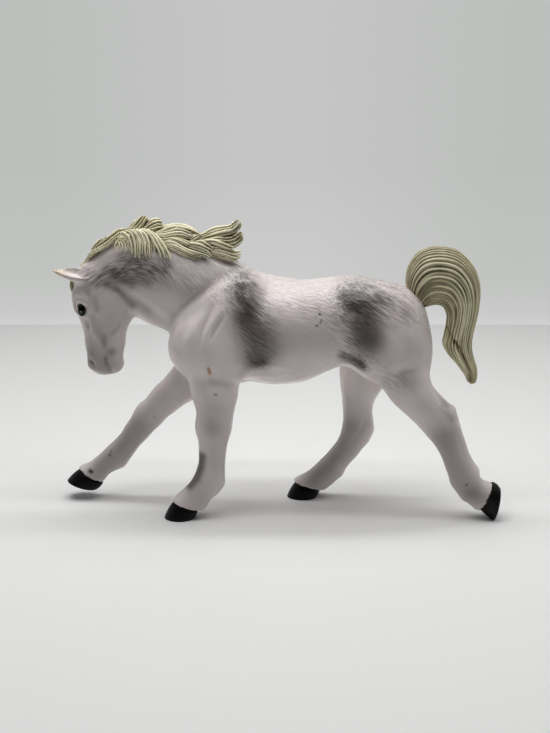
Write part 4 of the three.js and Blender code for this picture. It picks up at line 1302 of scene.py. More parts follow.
@dataclass(frozen=True)
class Strand:
    """One strand of hair, traced along its crest.

    Attributes:
        crest: (x, z) places from the root to the tip, in millimetres.
        depths: y at the root and at the tip.
        radius: how thick it is in the middle, in millimetres.
        tip: its thickness at the tip, as a share of the middle.
        root: its thickness at the root, as a share of the middle.
        round_from: where its rounded end starts, as a share of its length.
        uneven: the least and the most that its thickness is multiplied by.
        bend: how y runs from one depth to the other: evenly at 1, and sooner below it.
        last_stations: where its last three points lie, as shares of its length.
        root_fade: where it is as thin as its root, and where as thick as its middle.
        tip_fade: where it is as thick as its middle, and where as thin as its tip.
        blunt: the least square of its rounded end's thickness.
    """

    crest: tuple[Spot, ...]
    depths: Spot
    radius: float = 0.6
    tip: float = 0.3
    root: float = 0.75
    round_from: float = 0.95
    uneven: Spot = (0.9, 1.06)
    bend: float = 0.8
    last_stations: Place = (0.975, 0.992, 1.0)
    root_fade: Spot = (0.0, 0.35)
    tip_fade: Spot = (0.5, 1.0)
    blunt: float = 0.02

    def path(self) -> tuple[Place, ...]:
        """Lays the crest's places at their depths, to a tenth of a millimetre.

        Returns:
            One place for each of the crest's.
        """
        first, last = self.depths
        shares = (np.arange(len(self.crest)) / (len(self.crest) - 1)) ** self.bend
        return tuple((x, round(first + (last - first) * s, 1), z) for (x, z), s in zip(self.crest, shares))

    def laid(self, stations: int, random: np.random.Generator) -> Laid:
        """Lays the strand, with a rounded end.

        Args:
            stations: how many points it gets.
            random: the source of its small differences.

        Returns:
            Its points, their radii and its turn.
        """
        before = stations - len(self.last_stations)
        share = np.append(np.linspace(0, self.round_from, before), self.last_stations)
        points = catmull_rom(self.path(), CURVE_POINTS)[np.rint(share * (CURVE_POINTS - 1)).astype(int)]
        swell = self.root + (1 - self.root) * fade(self.root_fade, share)
        taper = 1 - (1 - self.tip) * fade(self.tip_fade, share)
        over = np.maximum(share - self.round_from, 0) / (1 - self.round_from)
        rounded = np.sqrt(np.clip(1 - over**2, self.blunt, 1))
        radius = self.radius * swell * taper * rounded * random.uniform(*self.uneven)
        return points, radius, 2 * math.pi * random.random()


@dataclass(frozen=True)
class Lock:
    """A lock of hair, as a sheaf of strands.

    Attributes:
        path: places from the root to the tip.
        share: how full it is, as a share of a full lock.
        strands: how many strands it has.
    """

    path: tuple[Place, ...]
    share: float
    strands: int = 11


@dataclass
class Hair:
    """Moulded hair: traced strands over sheaves of ribbed strands that run together at the tip.

    Attributes:
        name: the piece's name.
        node: the solid that it stands for.
        locks: the sheaves.
        traced: the strands that lie over them.
        light_and_shade: marks where the hair is painted paler or darker than its grooves and gaps give:
            painted light and shade.
        width: how wide a full lock is, in millimetres.
        thickness: how thick it is.
        root: how full a lock is at its root, as a share of a half turn.
        twist: how far its strands turn round each other, in radians.
        stations: how many points a strand has.
        ribs: how many ribs it has.
        rib: the radius of a groove between ribs, and of a rib, as shares of the strand's.
        spread: how far the strands stand from the lock's middle.
        slim: the least radius of a strand, and how much it may grow, as shares of the lock.
        flat: the radius where the lock closes, as a share of the radius where it is full.
        least: what is added to every radius, in millimetres.
        ragged: how much of a strand's length may be missing.
        groove_depth: how deep a full groove is, in millimetres.
        groove_shade: how much painted shade a full groove holds.
        gap_reach: how near a gap's other side is, in millimetres.
        gap_rays: how many ways each vertex looks for it.
        closed_gap_shade: how much painted shade a closed gap holds.
        shade_taken_off: how much of the painted shade is taken off everywhere.
    """

    name: str
    node: str
    locks: tuple[Lock, ...]
    traced: tuple[Strand, ...] = ()
    light_and_shade: tuple[Mark, ...] = ()
    width: float = 4.4
    thickness: float = 3.0
    root: float = 0.24
    twist: float = 1.5
    stations: int = 20
    ribs: int = 5
    rib: Spot = (0.84, 1.06)
    spread: float = 0.74
    slim: Spot = (0.26, 0.10)
    flat: float = 0.6
    least: float = 0.03
    ragged: float = 0.14
    groove_depth: float = 0.12
    groove_shade: float = 0.8
    gap_reach: float = 1.4
    gap_rays: int = 8
    closed_gap_shade: float = 1.1
    shade_taken_off: float = 0.2

    def profile(self) -> Piece:
        """Makes the section of a strand.

        Returns:
            A small ribbed ring.
        """
        bpy.ops.curve.primitive_bezier_circle_add(radius=1.0)
        ring = bpy.context.object
        ring.name = f"{self.name}_section"
        ring.data.splines.clear()
        spline = ring.data.splines.new("POLY")
        count = 2 * self.ribs
        spline.points.add(count - 1)
        for k, point in enumerate(spline.points):
            turn = 2 * math.pi * k / count
            reach = self.rib[k % 2] * MM
            point.co = (reach * math.cos(turn), reach * math.sin(turn), 0, 1)
        spline.use_cyclic_u = True
        return ring

    def strands_of(self, lock: Lock, random: np.random.Generator) -> list[Laid]:
        """Lays the strands of a lock.

        Args:
            lock: the lock.
            random: the source of its small differences.

        Returns:
            The points, the radii and the turn of each strand.
        """
        half = lock.share * self.width / 2
        half_thickness = lock.share * self.thickness / 2
        middle = catmull_rom(lock.path, LOCK_POINTS)
        sideways, upwards = axes_along(middle)
        laid = []
        for k in range(lock.strands):
            end = 1 - self.ragged * random.random()
            keep = np.linspace(0, (LOCK_POINTS - 1) * end, self.stations).astype(int)
            share = keep / (LOCK_POINTS - 1) / end
            centre, side, lift = middle[keep], sideways[keep], upwards[keep]
            swell = np.sin(math.pi * (self.root + (1 - self.root) * share * end))
            turn = 2 * math.pi * (k + 0.5 * random.random()) / lock.strands + self.twist * (share - 0.4)
            points = centre + lift * (half * self.spread * swell * np.cos(turn))[:, None]
            points += side * (half_thickness * self.spread * swell * np.sin(turn))[:, None]
            slim = np.sqrt(half * half_thickness) * (self.slim[0] + self.slim[1] * random.random())
            taper = np.sqrt(np.clip(1 - share**3, 0, 1))
            radius = slim * (self.flat + (1 - self.flat) * swell) * taper + self.least
            laid.append((points, radius, 2 * math.pi * random.random()))
        return laid

    def build(self, material: Material) -> None:
        """Makes and dresses the hair.

        Args:
            material: its finish.
        """
        random = np.random.default_rng(SEED)
        section = self.profile()
        bpy.ops.curve.primitive_bezier_curve_add()
        piece = bpy.context.object
        piece.name = self.name
        curve = piece.data
        curve.splines.clear()
        curve.dimensions = "3D"
        curve.twist_mode = "MINIMUM"
        curve.bevel_mode = "OBJECT"
        curve.bevel_object = section
        curve.use_fill_caps = True
        laid = [each for lock in self.locks for each in self.strands_of(lock, random)]
        laid += [strand.laid(self.stations + 4, random) for strand in self.traced]
        for points, radii, turn in laid:
            spline = curve.splines.new("POLY")
            spline.points.add(len(points) - 1)
            for point, place, radius in zip(spline.points, points, radii):
                point.co = (*to_metres(place), 1)
                point.radius = radius
                point.tilt = turn
        take(piece)
        bpy.ops.object.convert(target="MESH")
        bpy.data.objects.remove(section)
        turn_outwards(piece, weld=True)
        bpy.ops.object.shade_smooth()
        # painted shade in the grooves and the closed gaps, and painted light and shade from the marks
        gaps = self.closed_gap_shade * gap_shade(piece, self.gap_reach, self.gap_rays)
        darkening = self.groove_shade * cavity_of(piece, self.groove_depth, 0) + gaps - self.shade_taken_off
        darkening += marks_on(read_points(piece), self.light_and_shade)
        store(piece, "cavity", np.clip(darkening, 0, 1))
        ride_as(piece, "dusty_yellow_paint", material, self.node)


@dataclass(frozen=True)
class TailStation:
    """A station along the tail: (x, z) of its outer and inner edge, and its width as a share of the full."""

    outer: Spot
    inner: Spot
    width: float


@dataclass(frozen=True)
class Ridge:
    """A raised strand along the tail.

    Attributes:
        turn: where it lies, in degrees from the outer edge.
        height: in millimetres.
        half_width: in millimetres.
        start: where it begins along the tail.
        end: where it ends.
    """

    turn: float
    height: float
    half_width: float
    start: float
    end: float


@dataclass
class Tail:
    """The combed switch: a full arch of hair with thin raised strands, falling to a folded point."""

    root: Place = (81.1, 0, 72.2)
    tip: Place = (100.6, 0, 43.1)
    width: float = 10.0
    segments: int = 288
    rings: int = 270
    width_smoothing: int = 12
    aside: float = 0.02
    bow: Spot = (0.02, 0.07)
    bow_length: Spot = (1.2, 2.6)
    fade_in: float = 0.1
    fade_out: float = 0.14
    hair_height: float = 0.11
    hairs: Place = (7.0, 15.0, 15.0)
    fine_hairs: Place = (9.8, 30.0, 30.0)
    fine_share: float = 0.7
    flatness: float = 0.9
    sunk: float = 0.2
    darkening: float = 0.63
    low_lightening: float = 0.14
    # the raised strands and folds are painted paler as a highlight, and the grooves darker as shade
    crest_highlight: float = 2.2
    fold_light_and_shade: float = 0.3
    groove_shade: float = 0.42
    groove_depth: float = 0.05
    flank_fade: Spot = (0.1, 0.6)
    low_fade: Spot = (0.35, 0.7)
    stations: tuple[TailStation, ...] = (
        TailStation((78.5, 75.0), (83.7, 69.6), 0.5),
        TailStation((77.5, 78.4), (84.8, 69.6), 0.66),
        TailStation((78.3, 83.6), (86.3, 70.1), 0.82),
        TailStation((81.8, 88.4), (87.6, 70.3), 0.95),
        TailStation((87.8, 90.0), (88.9, 70.1), 1.0),
        TailStation((94.9, 88.4), (90.2, 69.4), 1.0),
        TailStation((100.0, 83.1), (90.9, 68.2), 0.95),
        TailStation((102.2, 76.5), (91.3, 66.3), 0.88),
        TailStation((102.1, 68.9), (91.1, 63.7), 0.8),
        TailStation((100.9, 62.2), (90.5, 60.3), 0.74),
        TailStation((100.4, 57.0), (90.3, 57.0), 0.68),
        TailStation((101.1, 52.7), (92.1, 53.7), 0.6),
        TailStation((102.3, 48.9), (94.9, 50.6), 0.5),
        TailStation((102.5, 45.9), (97.9, 46.6), 0.38),
        TailStation((102.1, 44.0), (99.1, 44.2), 0.3),
    )
    folds: tuple[Mark, ...] = (
        Mark(((94.0, 58.5), (95.4, 56.1), (97.2, 53.1), (99.2, 48.6), (99.8, 45.4)), 0.8, -0.9),
        Mark(((91.2, 63.4), (93.2, 59.6), (95.2, 56.6)), 0.5, -0.4),
        Mark(((90.8, 58.6), (93.2, 55.6), (96.6, 51.4), (98.6, 47.2)), 1.3, 0.4),
        Mark(((96.6, 57.6), (98.8, 53.4), (100.8, 48.6)), 1.0, 0.35),
        Mark(((94.0, 70.0), (94.6, 62.0), (96.0, 57.0)), 0.9, -0.25),
    )
    ridges: tuple[Ridge, ...] = (
        Ridge(9, 0.14, 0.18, 0.0, 0.5),
        Ridge(17, 0.18, 0.18, 0.05, 0.6),
        Ridge(26, 0.24, 0.20, 0.0, 0.5),
        Ridge(33, 0.16, 0.18, 0.08, 0.66),
        Ridge(41, 0.26, 0.20, 0.0, 0.56),
        Ridge(47, 0.16, 0.18, 0.1, 0.7),
        Ridge(56, 0.28, 0.20, 0.0, 0.6),
        Ridge(61, 0.14, 0.18, 0.06, 0.5),
        Ridge(70, 0.28, 0.20, 0.0, 0.66),
        Ridge(76, 0.18, 0.18, 0.04, 0.74),
        Ridge(85, 0.24, 0.20, 0.1, 0.6),
        Ridge(93, 0.14, 0.18, 0.3, 0.84),
        Ridge(104, 0.18, 0.20, 0.3, 0.9),
        Ridge(117, 0.14, 0.18, 0.08, 0.86),
        Ridge(131, 0.16, 0.20, 0.0, 0.9),
        Ridge(152, 0.14, 0.20, 0.0, 0.7),
    )

    def surface(self) -> np.ndarray:
        """Lays the rings along the stations, before the strands are raised.

        Returns:
            The places of the rings' vertices.
        """
        share = np.linspace(0, 1, self.rings)
        outer = catmull_rom(tuple((s.outer[0], 0, s.outer[1]) for s in self.stations), self.rings)
        inner = catmull_rom(tuple((s.inner[0], 0, s.inner[1]) for s in self.stations), self.rings)
        widths = np.interp(share, np.linspace(0, 1, len(self.stations)), [s.width for s in self.stations])
        count = 2 * self.width_smoothing + 1
        padded = np.pad(widths, self.width_smoothing, mode="edge")
        widths = np.convolve(padded, np.ones(count) / count, "valid")
        turn = 2 * math.pi * np.arange(self.segments) / self.segments
        centre = (outer + inner) / 2
        lift = (outer - inner) / 2
        body = centre[:, None] + lift[:, None] * np.cos(turn)[None, :, None]
        body[:, :, 1] -= (self.width / 2 * widths)[:, None] * np.sin(turn)[None, :]
        return body

    def relief(self, random: np.random.Generator) -> np.ndarray:
        """Lays the strands over the rings' vertices.

        Args:
            random: the source of their small differences.

        Returns:
            The height at each vertex, in millimetres.
        """
        share = np.linspace(0, 1, self.rings)[:, None]
        turn = 2 * math.pi * np.arange(self.segments)[None, :] / self.segments
        reach = self.width * np.sqrt((self.flatness * np.cos(turn)) ** 2 + (np.sin(turn) / 2) ** 2)
        height = np.zeros((self.rings, self.segments))
        for flank in (1, -1):
            for ridge in self.ridges:
                middle = flank * (math.radians(ridge.turn) + random.uniform(-self.aside, self.aside))
                bow = flank * random.uniform(*self.bow)
                bend = bow * np.sin(math.pi * share * random.uniform(*self.bow_length))
                away = np.abs((turn - middle - bend + math.pi) % (2 * math.pi) - math.pi) * reach
                there = smooth_step(ridge.start - self.fade_in, ridge.start, share)
                there = there * (1 - smooth_step(ridge.end, ridge.end + self.fade_out, share))
                height += ridge.height * there * bell(away, ridge.half_width)
        around = np.broadcast_to(turn, height.shape).ravel()
        along = np.broadcast_to(share, height.shape).ravel()
        ring = np.stack([along, np.sin(around), np.cos(around)], 1)
        hairs = lattice_noise(ring * self.hairs, SEED)
        hairs += self.fine_share * lattice_noise(ring * self.fine_hairs, SEED + 3)
        return height + self.hair_height * hairs.reshape(height.shape)

    def build(self, material: Material) -> None:
        """Makes and dresses the tail.

        Args:
            material: its finish.
        """
        bpy.ops.mesh.primitive_uv_sphere_add(segments=self.segments, ring_count=self.rings + 1, radius=1.0)
        piece = bpy.context.object
        piece.name = "tail_hair"
        unit = read(piece.data.vertices, "co")
        ring = np.rint(np.arccos(np.clip(unit[:, 2], -1, 1)) / math.pi * (self.rings + 1)).astype(int)
        around = np.rint(np.arctan2(unit[:, 1], unit[:, 0]) / (2 * math.pi) * self.segments).astype(int)
        around %= self.segments
        body = self.surface()
        relief = self.relief(np.random.default_rng(SEED))
        inside = (ring > 0) & (ring <= self.rings)
        points = np.where(ring[:, None] == 0, np.array(self.root), np.array(self.tip))
        points[inside] = body[ring[inside] - 1, around[inside]]
        write_points(piece, points)
        turn_outwards(piece)
        bpy.ops.object.shade_smooth()
        rise = np.zeros(len(points))
        rise[inside] = relief[ring[inside] - 1, around[inside]]
        normals = read_normals(piece)
        folds = marks_on(points, self.folds) * fade(self.flank_fade, np.abs(normals[:, 1]))
        write_points(piece, points + (rise + folds - self.sunk)[:, None] * normals)
        low = fade(self.low_fade, ring / self.rings)
        # painted highlight on the raised strands and folds, painted shade in the grooves, paler low on the
        # tail
        darkening = self.darkening - self.low_lightening * low - self.crest_highlight * rise - self.fold_light_and_shade * folds
        darkening += self.groove_shade * (cavity_of(piece, self.groove_depth, 1) - 0.5)
        store(piece, "cavity", np.clip(darkening, 0, 1))
        ride_as(piece, "dusty_yellow_paint", material, "tail")


@dataclass(frozen=True)
class Hoof:
    """A hoof, painted black: a leaning wall with faint growth rings, and a dished sole, in millimetres.

    Attributes:
        node: the solid it stands for.
        sole: the middle of its sole.
        pitch: how far it is tipped on its toe, in degrees.
        length: from toe to heel, at the ground.
        width: from side to side, at the ground.
        toe_height: the wall's height at the toe.
        heel_height: the wall's height at the heel.
        coronet: the size of its upper rim, as a share of the lower one.
        lean: how far the upper rim lies behind the lower one, as a share of the length.
        pinch: how much narrower the heel is.
        edge: how wide its edges are rounded.
        dish: how deep its sole is, as a share of the edge.
        belly: how far the wall bulges, as a share of its size.
        ripple: how far the growth rings stand out, as a share of its size.
        sides: how many sides it is modelled with.
        growth_rings: how many rings it is modelled with.
        rounded_from: how sharp an edge is rounded, in degrees.
        shaded_to: how sharp an edge is shaded smooth, in degrees.
    """

    node: str
    sole: Place
    pitch: float = 0.0
    length: float = 10.6
    width: float = 9.6
    toe_height: float = 5.2
    heel_height: float = 2.4
    coronet: float = 0.85
    lean: float = 0.19
    pinch: float = 0.12
    edge: float = 0.4
    dish: float = 0.8
    belly: float = 0.05
    ripple: float = 0.006
    sides: int = 64
    growth_rings: int = 12
    rounded_from: float = 40.0
    shaded_to: float = 35.0

    def turned(self, points: np.ndarray) -> np.ndarray:
        """Tips and moves places from the hoof's own frame to the horse's, and presses them on the ground.

        Args:
            points: places in the hoof's own frame.

        Returns:
            The same places in the horse's frame.
        """
        lean = math.radians(self.pitch)
        turned = points.copy()
        turned[:, 0] = points[:, 0] * math.cos(lean) - points[:, 2] * math.sin(lean)
        turned[:, 2] = points[:, 0] * math.sin(lean) + points[:, 2] * math.cos(lean)
        turned += self.sole
        turned[:, 2] = np.maximum(turned[:, 2], 0)
        return turned

    def seat(self) -> tuple[np.ndarray, np.ndarray]:
        """Finds where the leg meets the hoof.

        Returns:
            The middle of the coronet and the direction up the leg, in the horse's frame.
        """
        middle = np.array([[self.length * self.lean, 0, (self.toe_height + self.heel_height) / 2]])
        up = np.array([[self.toe_height - self.heel_height, 0, self.length * self.coronet]])
        up /= np.linalg.norm(up)
        base = self.turned(np.zeros((1, 3)))
        return self.turned(middle)[0], (self.turned(up) - base)[0]

    def wall(self, unit: np.ndarray) -> np.ndarray:
        """Shapes a cylinder of radius 1 and height 1 to the hoof's wall.

        Args:
            unit: places on the cylinder.

        Returns:
            The same places on the wall, in the hoof's own frame.
        """
        turn = np.arctan2(unit[:, 1], unit[:, 0])
        reach = np.hypot(unit[:, 0], unit[:, 1])
        height = unit[:, 2]
        pinch = 1 - self.pinch * np.maximum(np.cos(turn), 0) ** 2
        ripple = 1 + self.ripple * np.sin(math.pi * height * self.growth_rings)
        belly = 1 + self.belly * np.sin(math.pi * np.clip(height, 0, 1))
        size = (1 + (self.coronet - 1) * height) * belly * pinch * reach * ripple
        x = self.length / 2 * size * np.cos(turn)
        y = self.width / 2 * size * np.sin(turn)
        middle = (self.toe_height + self.heel_height) / 2
        top = middle - x * (self.toe_height - self.heel_height) / (self.length * self.coronet)
        return np.stack([x + self.length * self.lean * height, y, top * height], 1)

    def build(self, material: Material) -> None:
        """Makes and dresses the hoof.

        Args:
            material: its finish.
        """
        bpy.ops.mesh.primitive_cylinder_add(
            vertices=self.sides, radius=1.0, depth=1.0, location=(0, 0, 0.5), end_fill_type="NGON"
        )
        piece = bpy.context.object
        piece.name = f"{self.node}_painted"
        bpy.ops.object.transform_apply(location=True)
        heights = read_points(piece)[read_edges(piece)][:, :, 2]
        upright = np.abs(heights[:, 0] - heights[:, 1]) > 0.5 / MM
        with editing(piece, "EDGE", upright):
            bpy.ops.mesh.subdivide(number_cuts=4 * self.growth_rings - 1)
        write_points(piece, self.wall(read(piece.data.vertices, "co")))
        downwards = np.array([polygon.normal.z < -0.99 for polygon in piece.data.polygons])
        with editing(piece, "FACE", downwards):
            bpy.ops.mesh.inset(thickness=self.edge * MM, depth=0)
            bpy.ops.mesh.inset(thickness=self.edge * MM, depth=-self.dish * self.edge * MM)
        limit = {"limit_method": "ANGLE", "angle_limit": math.radians(self.rounded_from)}
        apply_modifier(piece, "BEVEL", width=self.edge * MM, segments=3, **limit)
        write_points(piece, self.turned(read_points(piece)))
        take(piece)
        bpy.ops.object.shade_smooth_by_angle(angle=math.radians(self.shaded_to))
        ride_as(piece, "black_paint", material, self.node)


@dataclass(frozen=True)
class Eye:
    """A lacquered bead with a raised cornea, set behind the lids.

    Attributes:
        side: the flank it is on.
        half: half its length, width and height, in millimetres.
        glint: (x, z) of the dab of white, a painted highlight, on a bead of radius 1.
        glint_size: the dab's radius.
        cornea: how far the cornea stands out.
        glint_fade: where the dab ends and where it is full, as shares of its radius.
        cornea_fade: where the cornea starts and where it is full, along the eye's axis.
    """

    side: Side
    half: Place = (1.3, 1.1, 2.05)
    glint: Spot = (-0.1, -0.12)
    glint_size: float = 0.11
    cornea: float = 0.1
    glint_fade: Spot = (1.2, 0.8)
    cornea_fade: Spot = (0.78, 0.96)

    def build(self, material: Material) -> None:
        """Makes and dresses the eye.

        Args:
            material: its finish.
        """
        name = self.side.name.lower()
        bpy.ops.mesh.primitive_uv_sphere_add(segments=96, ring_count=64, radius=1.0)
        piece = bpy.context.object
        piece.name = f"{name}_eye_bead"
        unit = read(piece.data.vertices, "co")
        outward = unit[:, 1] * self.side.value
        # the glint: a dab of white, a painted highlight
        from_glint = np.hypot(unit[:, 0] - self.glint[0], unit[:, 2] - self.glint[1]) / self.glint_size
        store(piece, "glint", (outward > 0) * fade(self.glint_fade, from_glint))
        unit[:, 1] += self.cornea * fade(self.cornea_fade, outward) * self.side.value
        write_points(piece, unit * self.half + np.array(EYE_PLACE) * (1, self.side.value, 1))
        take(piece)
        bpy.ops.object.shade_smooth()
        ride_as(piece, "gloss_black_paint", material, f"{name}_eye")


@dataclass(frozen=True)
class Lamp:
    """A soft lamp that shines down, or is turned about the camera's line.

    Attributes:
        name: the lamp's name.
        place: its middle, in metres.
        size: its length and width, in metres.
        power: in watts.
        turn: in degrees.
    """

    name: str
    place: Place
    size: Spot
    power: float
    turn: float = 0.0

    def build(self) -> None:
        """Adds the lamp."""
        data = bpy.data.lights.new(self.name, "AREA")
        data.shape = "RECTANGLE"
        data.size, data.size_y = self.size
        data.energy = self.power
        lamp = bpy.data.objects.new(self.name, data)
        lamp.location = self.place
        lamp.rotation_euler = (0, math.radians(self.turn), 0)
        bpy.context.scene.collection.objects.link(lamp)


@dataclass(frozen=True)
class Studio:
    """A light box: a pale floor, a paper wall behind it and strips of lamps overhead. Lengths are in metres.

    The camera's distance and target are in the horse's millimetres, as the photograph was measured.
    """

    camera_distance: float = 400.0
    camera_elevation: float = 14.0
    target: Spot = (34.84, 49.5)
    focal_px: float = 1200.0
    frame_px: tuple[int, int] = (550, 733)
    sensor_mm: float = 36.0
    floor_paper: str = "#ededec"
    wall_paper: str = "#d2d3d2"
    # the greys the wall glows with where the camera sees it: painted light, falling off upwards and to the
    # sides
    wall_glow_middle: tuple[str, ...] = ("#dadbda", "#d4d5d4", "#cbcccb", "#c4c5c4")
    wall_glow_side: tuple[str, ...] = ("#d0d1d0", "#c8c9c8", "#c1c3c1", "#bdbfbd")
    wall_rise: tuple[float, ...] = (0.0, 0.08, 0.3, 1.0)
    wall_at: float = 0.30
    wall_half_width: float = 1.6
    wall_height: float = 1.0
    floor_near: float = -0.26
    floor_half_width: float = 0.8
    fill_colour: tuple[float, float, float, float] = (0.8, 0.8, 0.8, 1.0)
    fill: float = 0.01
    lamps: tuple[Lamp, ...] = (
        Lamp("strip_0", (0, -0.065, 0.42), (0.40, 0.045), 0.45),
        Lamp("strip_1", (0, 0.062, 0.42), (0.40, 0.045), 0.45),
        Lamp("front_strip", (0, -0.165, 0.42), (0.40, 0.03), 0.34),
        Lamp("ceiling", (0, 0.08, 0.5), (0.5, 0.3), 0.85),
        Lamp("panel_left", (-0.30, 0.10, 0.15), (0.3, 0.3), 0.12, -90),
        Lamp("panel_right", (0.30, 0.10, 0.15), (0.3, 0.3), 0.12, 90),
    )

    def camera(self) -> None:
        """Adds the camera at the photograph's place."""
        data = bpy.data.cameras.new("camera")
        camera = bpy.data.objects.new("camera", data)
        bpy.context.scene.collection.objects.link(camera)
        rise = math.radians(self.camera_elevation)
        back = Vector((0, -math.cos(rise), math.sin(rise)))
        target = to_metres((self.target[0], 0, self.target[1]))
        camera.location = target + back * self.camera_distance * MM
        camera.rotation_euler = (math.radians(90 - self.camera_elevation), 0, 0)
        data.sensor_width = self.sensor_mm
        data.lens = self.focal_px * self.sensor_mm / self.frame_px[1]
        data.clip_start = 0.01
        bpy.context.scene.camera = camera

    def floor(self) -> Piece:
        """Makes the white floor, which ends before the camera.

        Returns:
            The floor.
        """
        bpy.ops.mesh.primitive_grid_add(x_subdivisions=8, y_subdivisions=8, size=2.0)
        floor = bpy.context.object
        floor.name = "light_box_floor"
        for vertex in floor.data.vertices:
            depth = self.floor_near + (self.wall_at - self.floor_near) * (vertex.co.y + 1) / 2
            vertex.co = (self.floor_half_width * vertex.co.x, depth, 0)
        material, tree = new_material("floor_paper")
        paper = add_node(tree, "BsdfPrincipled", {"Roughness": 0.6, "Base Color": linear(self.floor_paper)})
        add_node(tree, "OutputMaterial", {"Surface": paper})
        floor.data.materials.append(material)
        return floor

    def wall(self) -> Piece:
        """Makes the wall, which glows for the camera in a grey that falls off upwards and to the sides:
        painted light.

        Returns:
            The wall.
        """
        bpy.ops.mesh.primitive_grid_add(x_subdivisions=8, y_subdivisions=8, size=2.0)
        wall = bpy.context.object
        wall.name = "light_box_wall"
        for vertex in wall.data.vertices:
            up = self.wall_height * (vertex.co.y + 1) / 2
            vertex.co = (self.wall_half_width * vertex.co.x, self.wall_at, up)
        material, tree = new_material("wall_paper")
        places = add_node(tree, "TexCoord").outputs["Object"]
        axes = add_node(tree, "SeparateXYZ", {"Vector": places}).outputs
        rise = add_node(tree, "MapRange", {"Value": axes["Z"], "From Min": 0.0, "From Max": 0.09})
        out = add_node(tree, "Math", {"operation": "ABSOLUTE", 0: axes["X"]})
        aside = add_node(tree, "MapRange", {"Value": out, "From Min": 0.02, "From Max": 0.13})
        middle, side = (
            add_node(tree, "ValToRGB", {"Fac": rise, "stops": dict(zip(self.wall_rise, greys))})
            for greys in (self.wall_glow_middle, self.wall_glow_side)
        )
        colour = add_node(tree, "MixRGB", {"Fac": aside, "Color1": middle, "Color2": side})
        paper = add_node(tree, "BsdfDiffuse", {"Color": linear(self.wall_paper)})
        glow = add_node(tree, "Emission", {"Color": colour, "Strength": 1.0})
        seen = add_node(tree, "LightPath").outputs["Is Camera Ray"]
        shader = add_node(tree, "MixShader", {0: seen, 1: paper, 2: glow})
        add_node(tree, "OutputMaterial", {"Surface": shader})
        wall.data.materials.append(material)
        return wall

    def light(self) -> None:
        """Adds the lamps: strips and a ceiling over the horse, a soft panel at each end and a weak fill."""
        for lamp in self.lamps:
            lamp.build()
        world = bpy.data.worlds.new("studio")
        world.use_nodes = True
        tree = world.node_tree
        tree.nodes.clear()
        background = add_node(tree, "Background", {"Color": self.fill_colour, "Strength": self.fill})
        add_node(tree, "OutputWorld", {"Surface": background})
        bpy.context.scene.world = world

    def build(self) -> None:
        """Sets up the studio."""
        bpy.context.scene.view_settings.view_transform = "Standard"
        self.camera()
        self.floor()
        self.wall()
        self.light()


